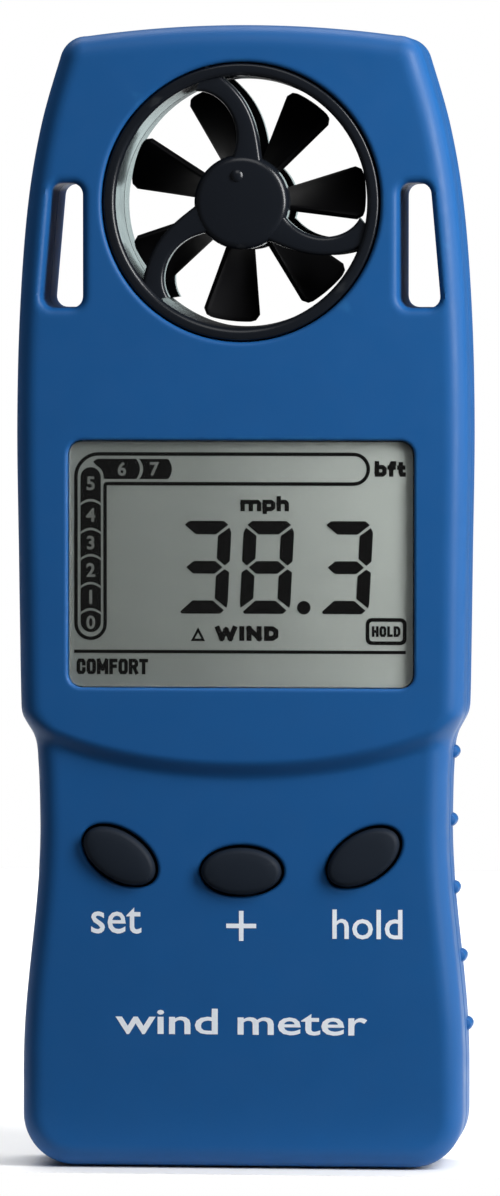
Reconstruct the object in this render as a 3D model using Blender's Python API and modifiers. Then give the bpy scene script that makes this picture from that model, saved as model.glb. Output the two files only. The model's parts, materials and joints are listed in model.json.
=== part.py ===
"""Handheld weather meter: case, fan, display, keys, electronics and coin cell.

Sizes are in millimetres and MM turns them into metres. Every part is modelled in the face frame:
x to the right, y up the face and z out of the face. The empty meter_frame stands that frame
upright, so in the world the face looks along -Y, +Z is up and the case stands on z = 0.
"""
import math

import bmesh
import bpy

MM = 0.001

# Case
CASE_HEIGHT = 140.0
CASE_FRONT = 9.0
CASE_BACK = -9.0
GRIP_FRONT = 7.6
WALL = 1.6
EDGE_ROUND = 2.4
SHELL_GAP = 0.5
SEAL_HALF = 0.2
GAP = 0.3
SLEEVE_RADIUS = 19.4
BRIDGE_WIDTH = 22.0
BRIDGE_HEIGHT = 12.0
BRIDGE_MIDDLE = 136.0

# Half widths of the case: the grip swells from its waist to its foot, the head tapers to the top
FOOT_HALF_WIDTH = 27.15
WAIST_HALF_WIDTH = 25.05
FOOT_CORNER = 5.8
FOOT_TOP = 12.0
WAIST_TOP = 42.0
HEAD_SIDE = [(57.5, 27.25), (75.0, 27.5), (91.0, 27.7), (105.0, 27.35), (118.0, 26.35),
             (128.0, 24.65), (136.4, 22.24)]
SHOULDER = [(47.0, 25.15), (50.0, 25.3), (52.0, 25.5), (53.4, 25.95), (55.2, 26.95)]
TOP_CORNER = (19.1, 135.4)
TOP_CORNER_RADIUS = 3.3
TOP_ARC_RADIUS = 138.0
STEP_MIDDLE = 47.9

# Ribs on the sides of the grip
RIBS = 5
RIB_FIRST = 50.6
RIB_PITCH = 8.42
RIB_RADIUS = 0.9
RIB_SUNK = 0.15
RIB_BACK = -6.4
RIB_FRONT = -1.3

# Fan
FAN_HEIGHT = 118.4
RING_OUTER = 17.0
RING_INNER = 15.2
RING_FRONT = 8.8
RING_MEETING = 0.15
FLANGE_OUTER = 17.9
FLANGE_DEPTH = 1.2
GUARD_HUB_RADIUS = 5.8
GUARD_HUB_FRONT = 8.5
GUARD_HUB_BACK = 4.9
STRUT_FRONT = 8.2
STRUT_BACK = 6.2
STRUT_WIDTH = 2.0
STRUTS = 3
BLADES = 7
BLADE_TIP = 14.1
BLADE_SWEEP = 26.0
BLADE_DEPTH = 6.0
BLADE_THICKNESS = 0.8
FIRST_BLADE = 5.0
HUB_RADIUS = 5.2
HUB_HALF_LENGTH = 4.0
AXLE_RADIUS = 0.6
AXLE_HALF_LENGTH = 6.1
BEARING_RADIUS = 1.6

# Lanyard slots
SLOT_INNER = 19.4
SLOT_OUTER_TOP = 23.3
SLOT_OUTER_FOOT = 24.4
SLOT_TOP = 121.0
SLOT_FOOT = 105.3
SLOT_CORNER = 1.0
SLOT_FRAME_WIDTH = 12.0
SLOT_FRAME_HEIGHT = 18.8
SLOT_FRAME_MIDDLE = 23.9

# Display
WINDOW_WIDTH = 42.5
WINDOW_HEIGHT = 30.3
WINDOW_MIDDLE = 74.15
WINDOW_FRONT = 8.3
FLANGE_WIDTH = 46.4
FLANGE_HEIGHT = 34.2
FRAME_WIDTH = 47.0
FRAME_HEIGHT = 36.0
PANEL_WIDTH = 44.0
PANEL_HEIGHT = 32.0
PANEL_THICKNESS = 2.5
PANEL_DEPTH = 4.6
REFLECTOR_HEIGHT = 26.4
STRIP_LENGTH = 40.0
STRIP_OFFSET = 14.8

# Keys: name, place across and up the face, turn in degrees
KEYS = [("set", -15.0, 38.3, -33.0), ("plus", 0.0, 36.5, 0.0), ("hold", 15.0, 38.3, 33.0)]
KEY_WIDTH = 9.9
KEY_HEIGHT = 5.8
KEY_CLEARANCE = 0.4
KEY_FRONT = 8.8
KEY_FLANGE = 1.1
STEM_RADIUS = 2.4
PILL_RADIUS = 2.0
MAT_WIDTH = 44.0
MAT_HEIGHT = 15.0
MAT_MIDDLE = 37.4

# Board and battery
BOARD_FRONT = 0.5
BOARD_BACK = -0.5
BOARD_WIDTH = 43.0
BOARD_HEIGHT = 74.0
BOARD_MIDDLE = 59.5
BOARD_SCREW_ACROSS = 18.5
BOARD_SCREW_HEIGHT = 27.0
BATTERY_HEIGHT = 36.0
CELL_RADIUS = 10.0
CELL_FRONT = -4.5
CELL_BACK = -7.7
DOOR_RADIUS = 12.8
DOOR_NECK = 11.4
LEDGE_RADIUS = 11.7
LEDGE_BACK = -6.7
LEDGE_FRONT = -5.9
LEDGE_OUTER = 14.8
DOOR_SEAL_RADIUS = 12.25
DOOR_SEAL_DEPTH = -7.35
CONTACT_WIDTH = 4.0
CONTACT_THICKNESS = 0.25

# Screws
CASE_SCREWS = [("upper_left", -21.3, 99.5), ("upper_right", 21.3, 99.5),
               ("lower_left", -20.5, 10.0), ("lower_right", 20.5, 10.0)]
BOSS_RADIUS = 3.2
SCREW_HEAD = 2.1
SCREW_SHANK = 1.0


# ---------------------------------------------------------------- outlines

def arc(center, radius, start, end, steps):
    """Points along an arc, with both ends, angles in degrees."""
    angles = [math.radians(start + (end - start) * i / steps) for i in range(steps + 1)]
    return [(center[0] + radius * math.cos(a), center[1] + radius * math.sin(a)) for a in angles]


def circle(radius, steps, center=(0.0, 0.0)):
    return arc(center, radius, 0.0, 360.0 * (steps - 1) / steps, steps - 1)


def rounded_box(width, height, radius, steps=3, center=(0.0, 0.0)):
    """A rectangle with round corners, counter-clockwise."""
    points = []
    for start, side_x, side_y in ((0, 1, 1), (90, -1, 1), (180, -1, -1), (270, 1, -1)):
        corner = (center[0] + side_x * (width / 2 - radius),
                  center[1] + side_y * (height / 2 - radius))
        points += arc(corner, radius, start, start + 90, steps)
    return points


def smooth_between(knots, step):
    """Points of a smooth curve through (height, half width) knots, as (half width, height)."""
    points = []
    last = len(knots) - 1
    for i in range(last):
        before, start, end, after = (knots[max(i - 1, 0)], knots[i], knots[i + 1],
                                     knots[min(i + 2, last)])
        count = max(1, round((end[0] - start[0]) / step))
        for j in range(count):
            t = j / count
            weights = ((-t + 2 * t ** 2 - t ** 3) / 2, 1 - (5 * t ** 2 - 3 * t ** 3) / 2,
                       (t + 4 * t ** 2 - 3 * t ** 3) / 2, (t ** 3 - t ** 2) / 2)
            near = list(zip(weights, (before, start, end, after)))
            points.append((sum(weight * knot[1] for weight, knot in near),
                           sum(weight * knot[0] for weight, knot in near)))
    points.append((knots[-1][1], knots[-1][0]))
    return points


def right_side():
    """The case outline from the middle of its foot up the right side to its highest point."""
    points = arc((FOOT_HALF_WIDTH - FOOT_CORNER, FOOT_CORNER), FOOT_CORNER, -90, 0, 5)
    swell = FOOT_HALF_WIDTH - WAIST_HALF_WIDTH
    for i in range(7):
        t = i / 6
        points.append((FOOT_HALF_WIDTH - swell * (1 - math.cos(math.pi * t)) / 2,
                       FOOT_TOP + (WAIST_TOP - FOOT_TOP) * t))
    points += [(width, height) for height, width in SHOULDER]
    points += smooth_between(HEAD_SIDE, 7.0)[:-1]
    points += arc(TOP_CORNER, TOP_CORNER_RADIUS, 18, 82, 4)
    points += [(x, CASE_HEIGHT - x ** 2 / (2 * TOP_ARC_RADIUS)) for x in (14.0, 7.0, 0.0)]
    return points


def mirrored(side):
    """A closed outline from its right half, which ends on the middle line."""
    return side + [(-x, y) for x, y in reversed(side) if x > 0]


def inset(points, distance):
    """The closed counter-clockwise outline moved inwards by the distance."""
    moved = []
    count = len(points)
    for i in range(count):
        (ax, ay), (bx, by), (cx, cy) = points[i - 1], points[i], points[(i + 1) % count]
        first = math.hypot(bx - ax, by - ay)
        second = math.hypot(cx - bx, cy - by)
        normal_x = -(by - ay) / first - (cy - by) / second
        normal_y = (bx - ax) / first + (cx - bx) / second
        scale = 2 * distance / (normal_x ** 2 + normal_y ** 2)
        moved.append((bx + normal_x * scale, by + normal_y * scale))
    return moved


def step_height(x):
    """Foot of the curved step between the head and the grip."""
    return STEP_MIDDLE + 0.006 * x ** 2 + 2.5e-6 * x ** 4


def slot_outline(side):
    """A lanyard slot, wider at its foot, on side +1 or -1."""
    points = []
    for x, y, inward_x, inward_y, start in ((SLOT_INNER, SLOT_FOOT, 1, 1, 180),
                                            (SLOT_OUTER_FOOT, SLOT_FOOT, -1, 1, 270),
                                            (SLOT_OUTER_TOP, SLOT_TOP, -1, -1, 0),
                                            (SLOT_INNER, SLOT_TOP, 1, -1, 90)):
        corner = (x + inward_x * SLOT_CORNER, y + inward_y * SLOT_CORNER)
        points += arc(corner, SLOT_CORNER, start, start + 90, 2)
    return points if side > 0 else [(-x, y) for x, y in reversed(points)]


# ---------------------------------------------------------------- objects

def clear_scene():
    for obj in list(bpy.data.objects):
        bpy.data.objects.remove(obj, do_unlink=True)


def new_collection(name):
    collection = bpy.data.collections.new(name)
    bpy.context.scene.collection.children.link(collection)
    return collection


def principled(name, color, roughness, metallic=0.0, transmission=0.0):
    material = bpy.data.materials.new(name)
    material.use_nodes = True
    shader = material.node_tree.nodes["Principled BSDF"]
    shader.inputs["Base Color"].default_value = (*color, 1.0)
    shader.inputs["Roughness"].default_value = roughness
    shader.inputs["Metallic"].default_value = metallic
    shader.inputs["Transmission Weight"].default_value = transmission
    return material


clear_scene()
PARTS = new_collection("weather_meter")
CUTTERS = new_collection("weather_meter_cutters")
FRAME = bpy.data.objects.new("meter_frame", None)
FRAME.rotation_euler = (math.radians(90), 0, 0)
PARTS.objects.link(FRAME)


def add_object(name, mesh, material=None, at=(0.0, 0.0, 0.0), turn=0.0):
    """Put a mesh in the face frame, as a part if it has a material and as a cutter if not."""
    obj = bpy.data.objects.new(name, mesh)
    obj.parent = FRAME
    obj.location = [value * MM for value in at]
    obj.rotation_euler = (0, 0, math.radians(turn))
    if material is None:
        CUTTERS.objects.link(obj)
        obj.hide_render = True
        obj.display_type = "WIRE"
    else:
        PARTS.objects.link(obj)
        mesh.materials.append(material)
    return obj


def plate(name, loops, low, high, material=None, at=(0.0, 0.0, 0.0), turn=0.0, rounding=0.0,
          rounded_end=1, rounding_steps=3):
    """A flat outline, with holes if it has more loops, from depth low to depth high.

    rounding rounds the rim of the front end, or of the back one when rounded_end is -1.
    """
    curve = bpy.data.curves.new(name, "CURVE")
    curve.dimensions = "2D"
    curve.fill_mode = "BOTH"
    curve.extrude = (high - low) / 2 * MM
    for loop in loops:
        spline = curve.splines.new("POLY")
        spline.points.add(len(loop) - 1)
        for point, (x, y) in zip(spline.points, loop):
            point.co = (x * MM, y * MM, 0.0, 1.0)
        spline.use_cyclic_u = True
    guide = bpy.data.objects.new(name + "_guide", curve)
    CUTTERS.objects.link(guide)
    evaluated = guide.evaluated_get(bpy.context.evaluated_depsgraph_get())
    mesh = bpy.data.meshes.new_from_object(evaluated)
    bpy.data.objects.remove(guide)
    mesh.name = name

    shape = bmesh.new()
    shape.from_mesh(mesh)
    bmesh.ops.remove_doubles(shape, verts=shape.verts, dist=0.000001)
    if len(loops) == 1:
        for side in (-1, 1):
            cap = [face for face in shape.faces if face.normal.z * side > 0.99]
            bmesh.ops.dissolve_faces(shape, faces=cap)
    if rounding:
        rim = [edge for edge in shape.edges
               if all(vert.co.z * rounded_end > 0 for vert in edge.verts)]
        bmesh.ops.bevel(shape, geom=rim, offset=rounding * MM, segments=rounding_steps,
                        profile=0.5, affect="EDGES")
    bmesh.ops.translate(shape, verts=shape.verts, vec=(0, 0, (low + high) / 2 * MM))
    bmesh.ops.recalc_face_normals(shape, faces=shape.faces)
    shape.to_mesh(mesh)
    shape.free()
    mesh.materials.clear()
    return add_object(name, mesh, material, at, turn)


def turned(name, profile, material=None, at=(0.0, 0.0, 0.0), steps=32, closed=False):
    """A body turned about the depth axis from (radius, depth) points, clockwise from the front."""
    mesh = bpy.data.meshes.new(name)
    edges = [(i, i + 1) for i in range(len(profile) - 1)]
    if closed:
        edges.append((len(profile) - 1, 0))
    mesh.from_pydata([(radius * MM, 0, depth * MM) for radius, depth in profile], edges, [])
    obj = add_object(name, mesh, material, at)
    screw = obj.modifiers.new("turn", "SCREW")
    screw.steps = steps
    screw.render_steps = steps
    screw.use_merge_vertices = True
    screw.merge_threshold = 0.000001
    return obj


def disc(name, radius, low, high, material=None, at=(0.0, 0.0, 0.0), steps=32):
    shape = bmesh.new()
    bmesh.ops.create_cone(shape, cap_ends=True, segments=steps, radius1=radius * MM,
                          radius2=radius * MM, depth=(high - low) * MM)
    bmesh.ops.translate(shape, verts=shape.verts, vec=(0, 0, (low + high) / 2 * MM))
    mesh = bpy.data.meshes.new(name)
    shape.to_mesh(mesh)
    shape.free()
    return add_object(name, mesh, material, at)


def ring(name, inner, outer, low, high, material=None, at=(0.0, 0.0, 0.0), steps=32):
    profile = [(inner, high), (outer, high), (outer, low), (inner, low)]
    return turned(name, profile, material, at, steps, closed=True)


def box(name, size, center, material=None, turn=0.0, rounding=0.0):
    shape = bmesh.new()
    bmesh.ops.create_cube(shape, size=1.0)
    bmesh.ops.scale(shape, verts=shape.verts, vec=[value * MM for value in size])
    if rounding:
        bmesh.ops.bevel(shape, geom=shape.edges[:], offset=rounding * MM, segments=2,
                        profile=0.5, affect="EDGES")
    mesh = bpy.data.meshes.new(name)
    shape.to_mesh(mesh)
    shape.free()
    return add_object(name, mesh, material, center, turn)


def strip(name, path, width, thickness, material, at=(0.0, 0.0, 0.0), turn=0.0):
    """A bent metal strip: its path runs in (x, depth), its width lies along y."""
    mesh = bpy.data.meshes.new(name)
    points = [(x * MM, y * MM, z * MM) for x, z in path for y in (-width / 2, width / 2)]
    faces = [(2 * i, 2 * i + 2, 2 * i + 3, 2 * i + 1) for i in range(len(path) - 1)]
    mesh.from_pydata(points, [], faces)
    obj = add_object(name, mesh, material, at, turn)
    solid = obj.modifiers.new("thickness", "SOLIDIFY")
    solid.thickness = thickness * MM
    solid.offset = 0.0
    solid.use_even_offset = True
    return obj


def combine(target, other, operation):
    boolean = target.modifiers.new(other.name, "BOOLEAN")
    boolean.object = other
    boolean.operation = operation
    boolean.solver = "EXACT"


def cut(target, *others):
    for other in others:
        combine(target, other, "DIFFERENCE")


def fuse(target, *others):
    for other in others:
        combine(target, other, "UNION")


# ---------------------------------------------------------------- case

OUTLINE = mirrored(right_side())
INNER = inset(OUTLINE, WALL)


def cavity(name, low, high):
    """Hollow of one shell: the inner outline less the fan sleeve, slot frames and screw bosses."""
    hollow = plate(name, [INNER], low, high)
    beyond_low, beyond_high = low - 1, high + 1
    depth, middle = beyond_high - beyond_low, (low + high) / 2
    keepers = [disc(name + "_sleeve", SLEEVE_RADIUS, beyond_low, beyond_high,
                    at=(0, FAN_HEIGHT, 0), steps=48),
               box(name + "_bridge", (BRIDGE_WIDTH, BRIDGE_HEIGHT, depth),
                   (0, BRIDGE_MIDDLE, middle))]
    for side in (-1, 1):
        keepers.append(box(f"{name}_slot_frame_{side}",
                           (SLOT_FRAME_WIDTH, SLOT_FRAME_HEIGHT, depth),
                           (side * SLOT_FRAME_MIDDLE, (SLOT_FOOT + SLOT_TOP) / 2, middle)))
    for screw, x, y in CASE_SCREWS:
        keepers.append(disc(f"{name}_boss_{screw}", BOSS_RADIUS, beyond_low, beyond_high,
                            at=(x, y, 0), steps=16))
    cut(hollow, *keepers)
    return hollow


def through_cuts(name, low, high):
    """Holes that both shells share: the fan with the pocket for its flange, and the slots."""
    hole, pocket, depth = RING_OUTER + GAP, FLANGE_OUTER + GAP, FLANGE_DEPTH + GAP
    cuts = [turned(name + "_fan_hole",
                   [(0, 10), (hole, 10), (hole, depth), (pocket, depth), (pocket, -depth),
                    (hole, -depth), (hole, -10), (0, -10)], at=(0, FAN_HEIGHT, 0), steps=48)]
    cuts += [plate(f"{name}_slot_{side}", [slot_outline(side)], low, high) for side in (-1, 1)]
    return cuts


def oval(width, height, steps=24):
    return [(width / 2 * math.cos(2 * math.pi * i / steps),
             height / 2 * math.sin(2 * math.pi * i / steps)) for i in range(steps)]


def make_front_shell(blue):
    grip_side = [(x, y) for x, y in right_side() if y < 52.5] + [(25.0, 53.8), (25.0, 56.0)]
    grip = plate("front_shell", [mirrored(grip_side)], SHELL_GAP, GRIP_FRONT, blue,
                 rounding=EDGE_ROUND)
    step = [(x, step_height(x)) for x in range(0, 26, 3)] + [(25.6, step_height(25.6))]
    head_side = step + [(x, y) for x, y in right_side() if y > 53.0]
    head = plate("head_front", [mirrored(head_side)], SHELL_GAP, CASE_FRONT,
                 rounding=EDGE_ROUND)
    fuse(grip, head)
    low, high = SHELL_GAP - 1, CASE_FRONT + 1
    cut(grip, cavity("front_cavity", low, GRIP_FRONT - WALL),
        plate("display_cavity", [rounded_box(48, 39, 2, center=(0, 74.5))], 5, CASE_FRONT - WALL),
        plate("window_hole", [rounded_box(WINDOW_WIDTH, WINDOW_HEIGHT, 1.7,
                                          center=(0, WINDOW_MIDDLE))], 5, high),
        *through_cuts("front", low, high))
    for name, x, y, turn in KEYS:
        hole = oval(KEY_WIDTH + 2 * KEY_CLEARANCE, KEY_HEIGHT + 2 * KEY_CLEARANCE)
        cut(grip, plate(name + "_key_hole", [hole], 5, high, at=(x, y, 0), turn=turn))
    for name, x, y in CASE_SCREWS:
        cut(grip, disc(name + "_thread_hole", SCREW_SHANK + GAP, low, 5.4, at=(x, y, 0), steps=12))
    return grip


def make_rear_shell(blue):
    shell = plate("rear_shell", [OUTLINE], CASE_BACK, -SHELL_GAP, blue, rounding=EDGE_ROUND,
                  rounded_end=-1)
    for i in range(RIBS):
        height = RIB_FIRST - RIB_PITCH * i
        for side in (-1, 1):
            rib = disc(f"grip_rib_{i}_{side}", RIB_RADIUS, RIB_BACK, RIB_FRONT,
                       at=(side * (side_width(height) - RIB_SUNK), height, 0), steps=12)
            fuse(shell, rib)
    low, high = CASE_BACK - 1, 1 - SHELL_GAP
    cut(shell, cavity("rear_cavity", CASE_BACK + WALL, high))
    centre = (0, BATTERY_HEIGHT, 0)
    fuse(shell, disc("battery_ledge", LEDGE_OUTER, -8.2, LEDGE_FRONT, at=centre, steps=40))
    cut(shell, *through_cuts("rear", low, high))
    battery_hole = turned("battery_hole", [(0, -5), (LEDGE_RADIUS, -5), (LEDGE_RADIUS, LEDGE_BACK),
                                           (DOOR_RADIUS + GAP, LEDGE_BACK),
                                           (DOOR_RADIUS + GAP, low), (0, low)],
                          at=centre, steps=40)
    fuse(battery_hole, box("lug_notches", (2 * DOOR_RADIUS, 5.4, 1.7), (0, BATTERY_HEIGHT, -6.0),
                           turn=-45))
    cut(shell, battery_hole)
    for name, x, y in CASE_SCREWS:
        cut(shell, disc(name + "_head_recess", SCREW_HEAD + GAP, low, -6.4, at=(x, y, 0),
                        steps=16),
            disc(name + "_shank_hole", SCREW_SHANK + GAP, -7, high, at=(x, y, 0), steps=12))
    return shell


def side_width(height):
    """Half width of the grip at a height, between its foot and its shoulder."""
    side = [(y, x) for x, y in right_side() if FOOT_CORNER <= y <= 56]
    for (low, start), (high, end) in zip(side, side[1:]):
        if low <= height <= high:
            return start + (end - start) * (height - low) / (high - low)
    return WAIST_HALF_WIDTH


def make_seal(rubber):
    plate("case_seal", [inset(OUTLINE, 0.4), inset(OUTLINE, 1.2)], -SEAL_HALF, SEAL_HALF, rubber)


def make_case_screws(steel):
    for name, x, y in CASE_SCREWS:
        profile = [(0, 5.0), (SCREW_SHANK * 0.5, 5.0), (SCREW_SHANK, 4.2), (SCREW_SHANK, -6.7),
                   (SCREW_HEAD, -6.7), (SCREW_HEAD, -7.6), (SCREW_HEAD * 0.6, -8.1), (0, -8.1)]
        screw = turned(f"case_screw_{name}", profile, steel, at=(x, y, 0), steps=16)
        for i in range(2):
            cut(screw, box(f"{name}_cross_{i}", (2.4, 0.5, 1.4), (x, y, -8.1), turn=90 * i))


# ---------------------------------------------------------------- fan

def strut_outline(steps=9):
    """One curved guard strut from the hub to the ring, wider where it meets them."""
    left, right = [], []
    start, end = GUARD_HUB_RADIUS - 0.8, RING_INNER + 0.8
    for i in range(steps):
        t = i / (steps - 1)
        radius = start + (end - start) * t
        angle = math.radians(83 + 2 * t + 23 * t ** 2)
        half = STRUT_WIDTH / 2 + 0.9 * (t ** 8 + (1 - t) ** 8)
        x, y = radius * math.cos(angle), radius * math.sin(angle)
        left.append((x - half * math.sin(angle), y + half * math.cos(angle)))
        right.append((x + half * math.sin(angle), y - half * math.cos(angle)))
    return right + left[::-1]


def make_fan_housing(name, face, black):
    """Half of the fan cartridge: face is +1 for the front half and -1 for the rear half."""
    wall = [(RING_INNER + 0.5, RING_FRONT), (RING_OUTER - 0.4, RING_FRONT),
            (RING_OUTER, RING_FRONT - 0.4), (RING_OUTER, FLANGE_DEPTH),
            (FLANGE_OUTER, FLANGE_DEPTH), (FLANGE_OUTER, RING_MEETING),
            (RING_INNER, RING_MEETING), (RING_INNER, RING_FRONT - 0.5)]
    hub = [(0, GUARD_HUB_FRONT), (GUARD_HUB_RADIUS - 1.0, GUARD_HUB_FRONT),
           (GUARD_HUB_RADIUS - 0.3, GUARD_HUB_FRONT - 0.3),
           (GUARD_HUB_RADIUS, GUARD_HUB_FRONT - 1.0), (GUARD_HUB_RADIUS, GUARD_HUB_BACK),
           (BEARING_RADIUS + GAP, GUARD_HUB_BACK), (BEARING_RADIUS + GAP, 6.9), (0, 6.9)]
    if face < 0:
        wall = [(radius, -depth) for radius, depth in reversed(wall)]
        hub = [(radius, -depth) for radius, depth in reversed(hub)]
    centre = (0, FAN_HEIGHT, 0)
    housing = turned(name, wall, black, at=centre, steps=48, closed=True)
    low, high = sorted((face * STRUT_BACK, face * STRUT_FRONT))
    fuse(housing, turned(name + "_hub", hub, at=centre, steps=32))
    for i in range(STRUTS):
        fuse(housing, plate(f"{name}_strut_{i}", [strut_outline()], low, high, at=centre,
                            turn=120 * i))
    return housing


def make_blade(index, tilt_steps=3, reach_steps=4):
    """One helical blade: its front edge and back edge are radial lines half a sweep apart."""
    start = HUB_RADIUS - 0.5
    shape = bmesh.new()
    bmesh.ops.create_grid(shape, x_segments=reach_steps, y_segments=tilt_steps, size=0.5)
    for vert in shape.verts:
        reach, across = vert.co.x + 0.5, 2 * vert.co.y
        radius = start + (BLADE_TIP - start) * reach
        corner = 0.06 * reach ** 6 * abs(across)
        angle = math.radians(BLADE_SWEEP / 2 * across * (1 - corner))
        vert.co = (radius * math.cos(angle) * MM, radius * math.sin(angle) * MM,
                   -across * (BLADE_DEPTH - BLADE_THICKNESS) / 2 * MM)
    mesh = bpy.data.meshes.new(f"blade_{index}")
    shape.to_mesh(mesh)
    shape.free()
    blade = add_object(f"blade_{index}", mesh, at=(0, FAN_HEIGHT, 0),
                       turn=FIRST_BLADE + 360 * index / BLADES)
    solid = blade.modifiers.new("thickness", "SOLIDIFY")
    solid.thickness = BLADE_THICKNESS * MM
    solid.offset = 0.0
    solid.use_even_offset = True
    return blade


def make_impeller(black):
    """Hub cup, open at the back for its magnet, with the blades joined round it."""
    bore, boss, inside = AXLE_RADIUS + GAP, 1.9, 4.3
    profile = [(bore, HUB_HALF_LENGTH), (HUB_RADIUS - 0.7, HUB_HALF_LENGTH),
               (HUB_RADIUS, HUB_HALF_LENGTH - 0.7), (HUB_RADIUS, -HUB_HALF_LENGTH),
               (inside, -HUB_HALF_LENGTH), (inside, 0.8), (boss, 0.8), (boss, -HUB_HALF_LENGTH),
               (bore, -HUB_HALF_LENGTH)]
    impeller = turned("impeller", profile, black, at=(0, FAN_HEIGHT, 0), steps=28, closed=True)
    trim = ring("blade_trim", 0.5, 4.75, -5, 5, at=(0, FAN_HEIGHT, 0), steps=28)
    for index in range(BLADES):
        blade = make_blade(index)
        cut(blade, trim)
        fuse(impeller, blade)
    return impeller


def make_fan(black, rotor_black, steel, jewel, magnet):
    centre = (0, FAN_HEIGHT, 0)
    make_fan_housing("fan_housing_front", 1, black)
    make_fan_housing("fan_housing_rear", -1, black)
    make_impeller(rotor_black)
    disc("axle", AXLE_RADIUS, -AXLE_HALF_LENGTH, AXLE_HALF_LENGTH, steel, at=centre, steps=16)
    ring("impeller_magnet", 2.2, 4.0, -3.4, 0.4, magnet, at=centre, steps=24)
    hole = AXLE_RADIUS + 0.09
    jewel_profile = [(0, 6.55), (BEARING_RADIUS, 6.55), (BEARING_RADIUS, 5.2), (hole, 5.2),
                     (hole, 6.3), (0, 6.3)]
    turned("front_bearing", jewel_profile, jewel, at=centre, steps=16)
    turned("rear_bearing", [(radius, -depth) for radius, depth in reversed(jewel_profile)], jewel,
           at=centre, steps=16)


# ---------------------------------------------------------------- display

def make_display(clear, white, glass, silver, elastomer):
    middle = (0, WINDOW_MIDDLE)
    window = plate("display_window",
                   [rounded_box(WINDOW_WIDTH - 2 * GAP, WINDOW_HEIGHT - 2 * GAP, 1.4,
                                center=middle)], 6.5, WINDOW_FRONT, clear)
    fuse(window, plate("window_flange", [rounded_box(FLANGE_WIDTH, FLANGE_HEIGHT, 1.0,
                                                      center=middle)], 6.2, 7.1))
    plate("lcd_frame", [rounded_box(FRAME_WIDTH, FRAME_HEIGHT, 1.0, center=middle),
                        rounded_box(PANEL_WIDTH + 2 * GAP, PANEL_HEIGHT + 2 * GAP, 0.5,
                                    center=middle)], 0.8, 5.9, white)
    box("lcd_panel", (PANEL_WIDTH, PANEL_HEIGHT, PANEL_THICKNESS), (*middle, PANEL_DEPTH), glass)
    box("lcd_reflector", (PANEL_WIDTH, REFLECTOR_HEIGHT, 0.3), (*middle, 2.85), silver)
    for name, side in (("upper", 1), ("lower", -1)):
        box(f"zebra_strip_{name}", (STRIP_LENGTH, 1.8, 2.2),
            (0, WINDOW_MIDDLE + side * STRIP_OFFSET, 1.9), elastomer)


# ---------------------------------------------------------------- electronics

def make_electronics(board_green, epoxy, can, sleeve, sensor_black, sensor_white, steel):
    board_outline = rounded_box(BOARD_WIDTH, BOARD_HEIGHT, 1.5, center=(0, BOARD_MIDDLE))
    board = plate("circuit_board", [board_outline], BOARD_BACK, BOARD_FRONT, board_green)
    for side, name in ((-1, "left"), (1, "right")):
        place = (side * BOARD_SCREW_ACROSS, BOARD_SCREW_HEIGHT, 0)
        cut(board, disc(f"{name}_board_hole", 1.3, -2, 2, at=place, steps=12))
        profile = [(0, 4.0), (0.9, 4.0), (0.9, -0.8), (1.9, -0.8), (1.9, -1.7), (0, -1.7)]
        turned(f"board_screw_{name}", profile, steel, at=place, steps=12)
    turned("processor", [(0, -0.8), (5.0, -0.8), (4.4, -1.6), (2.6, -2.1), (0, -2.2)], epoxy,
           at=(0, 74, 0), steps=20)
    crystal = turned("quartz_crystal", [(0, 3.0), (0.8, 3.0), (1.0, 2.8), (1.0, -3.0), (0, -3.0)],
                     can, at=(12, 66, -1.9), steps=12)
    crystal.rotation_euler = (math.radians(90), 0, 0)
    disc("capacitor", 2.5, -5.8, -0.8, sleeve, at=(-13, 66, 0), steps=16)
    box("wind_pickup", (9, 3.0, 4.0), (0, 96.0, 3.2), sensor_black, rounding=0.3)
    box("temperature_sensor", (2.4, 3.2, 1.8), (16.5, 90.0, -1.9), sensor_white, rounding=0.3)


# ---------------------------------------------------------------- keys

def make_keys(key_rubber, mat_rubber, carbon):
    wells = [circle(STEM_RADIUS + 0.4, 16, center=(x, y)) for name, x, y, turn in KEYS]
    plate("keypad_mat", [rounded_box(MAT_WIDTH, MAT_HEIGHT, 2, center=(0, MAT_MIDDLE)), *wells],
          2.7, 3.7, mat_rubber)
    for name, x, y, turn in KEYS:
        cap = plate(f"{name}_button", [oval(KEY_WIDTH, KEY_HEIGHT)], 5.2, KEY_FRONT, key_rubber,
                    at=(x, y, 0), turn=turn, rounding=0.7, rounding_steps=2)
        fuse(cap, plate(f"{name}_flange", [oval(KEY_WIDTH + 2 * KEY_FLANGE,
                                                KEY_HEIGHT + 2 * KEY_FLANGE)], 4.9, 5.7,
                        at=(x, y, 0), turn=turn),
             disc(f"{name}_stem", STEM_RADIUS, 2.5, 5.3, at=(x, y, 0), steps=16))
        disc(f"{name}_contact_pill", PILL_RADIUS, 1.6, 2.2, carbon, at=(x, y, 0), steps=16)


# ---------------------------------------------------------------- battery

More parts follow.
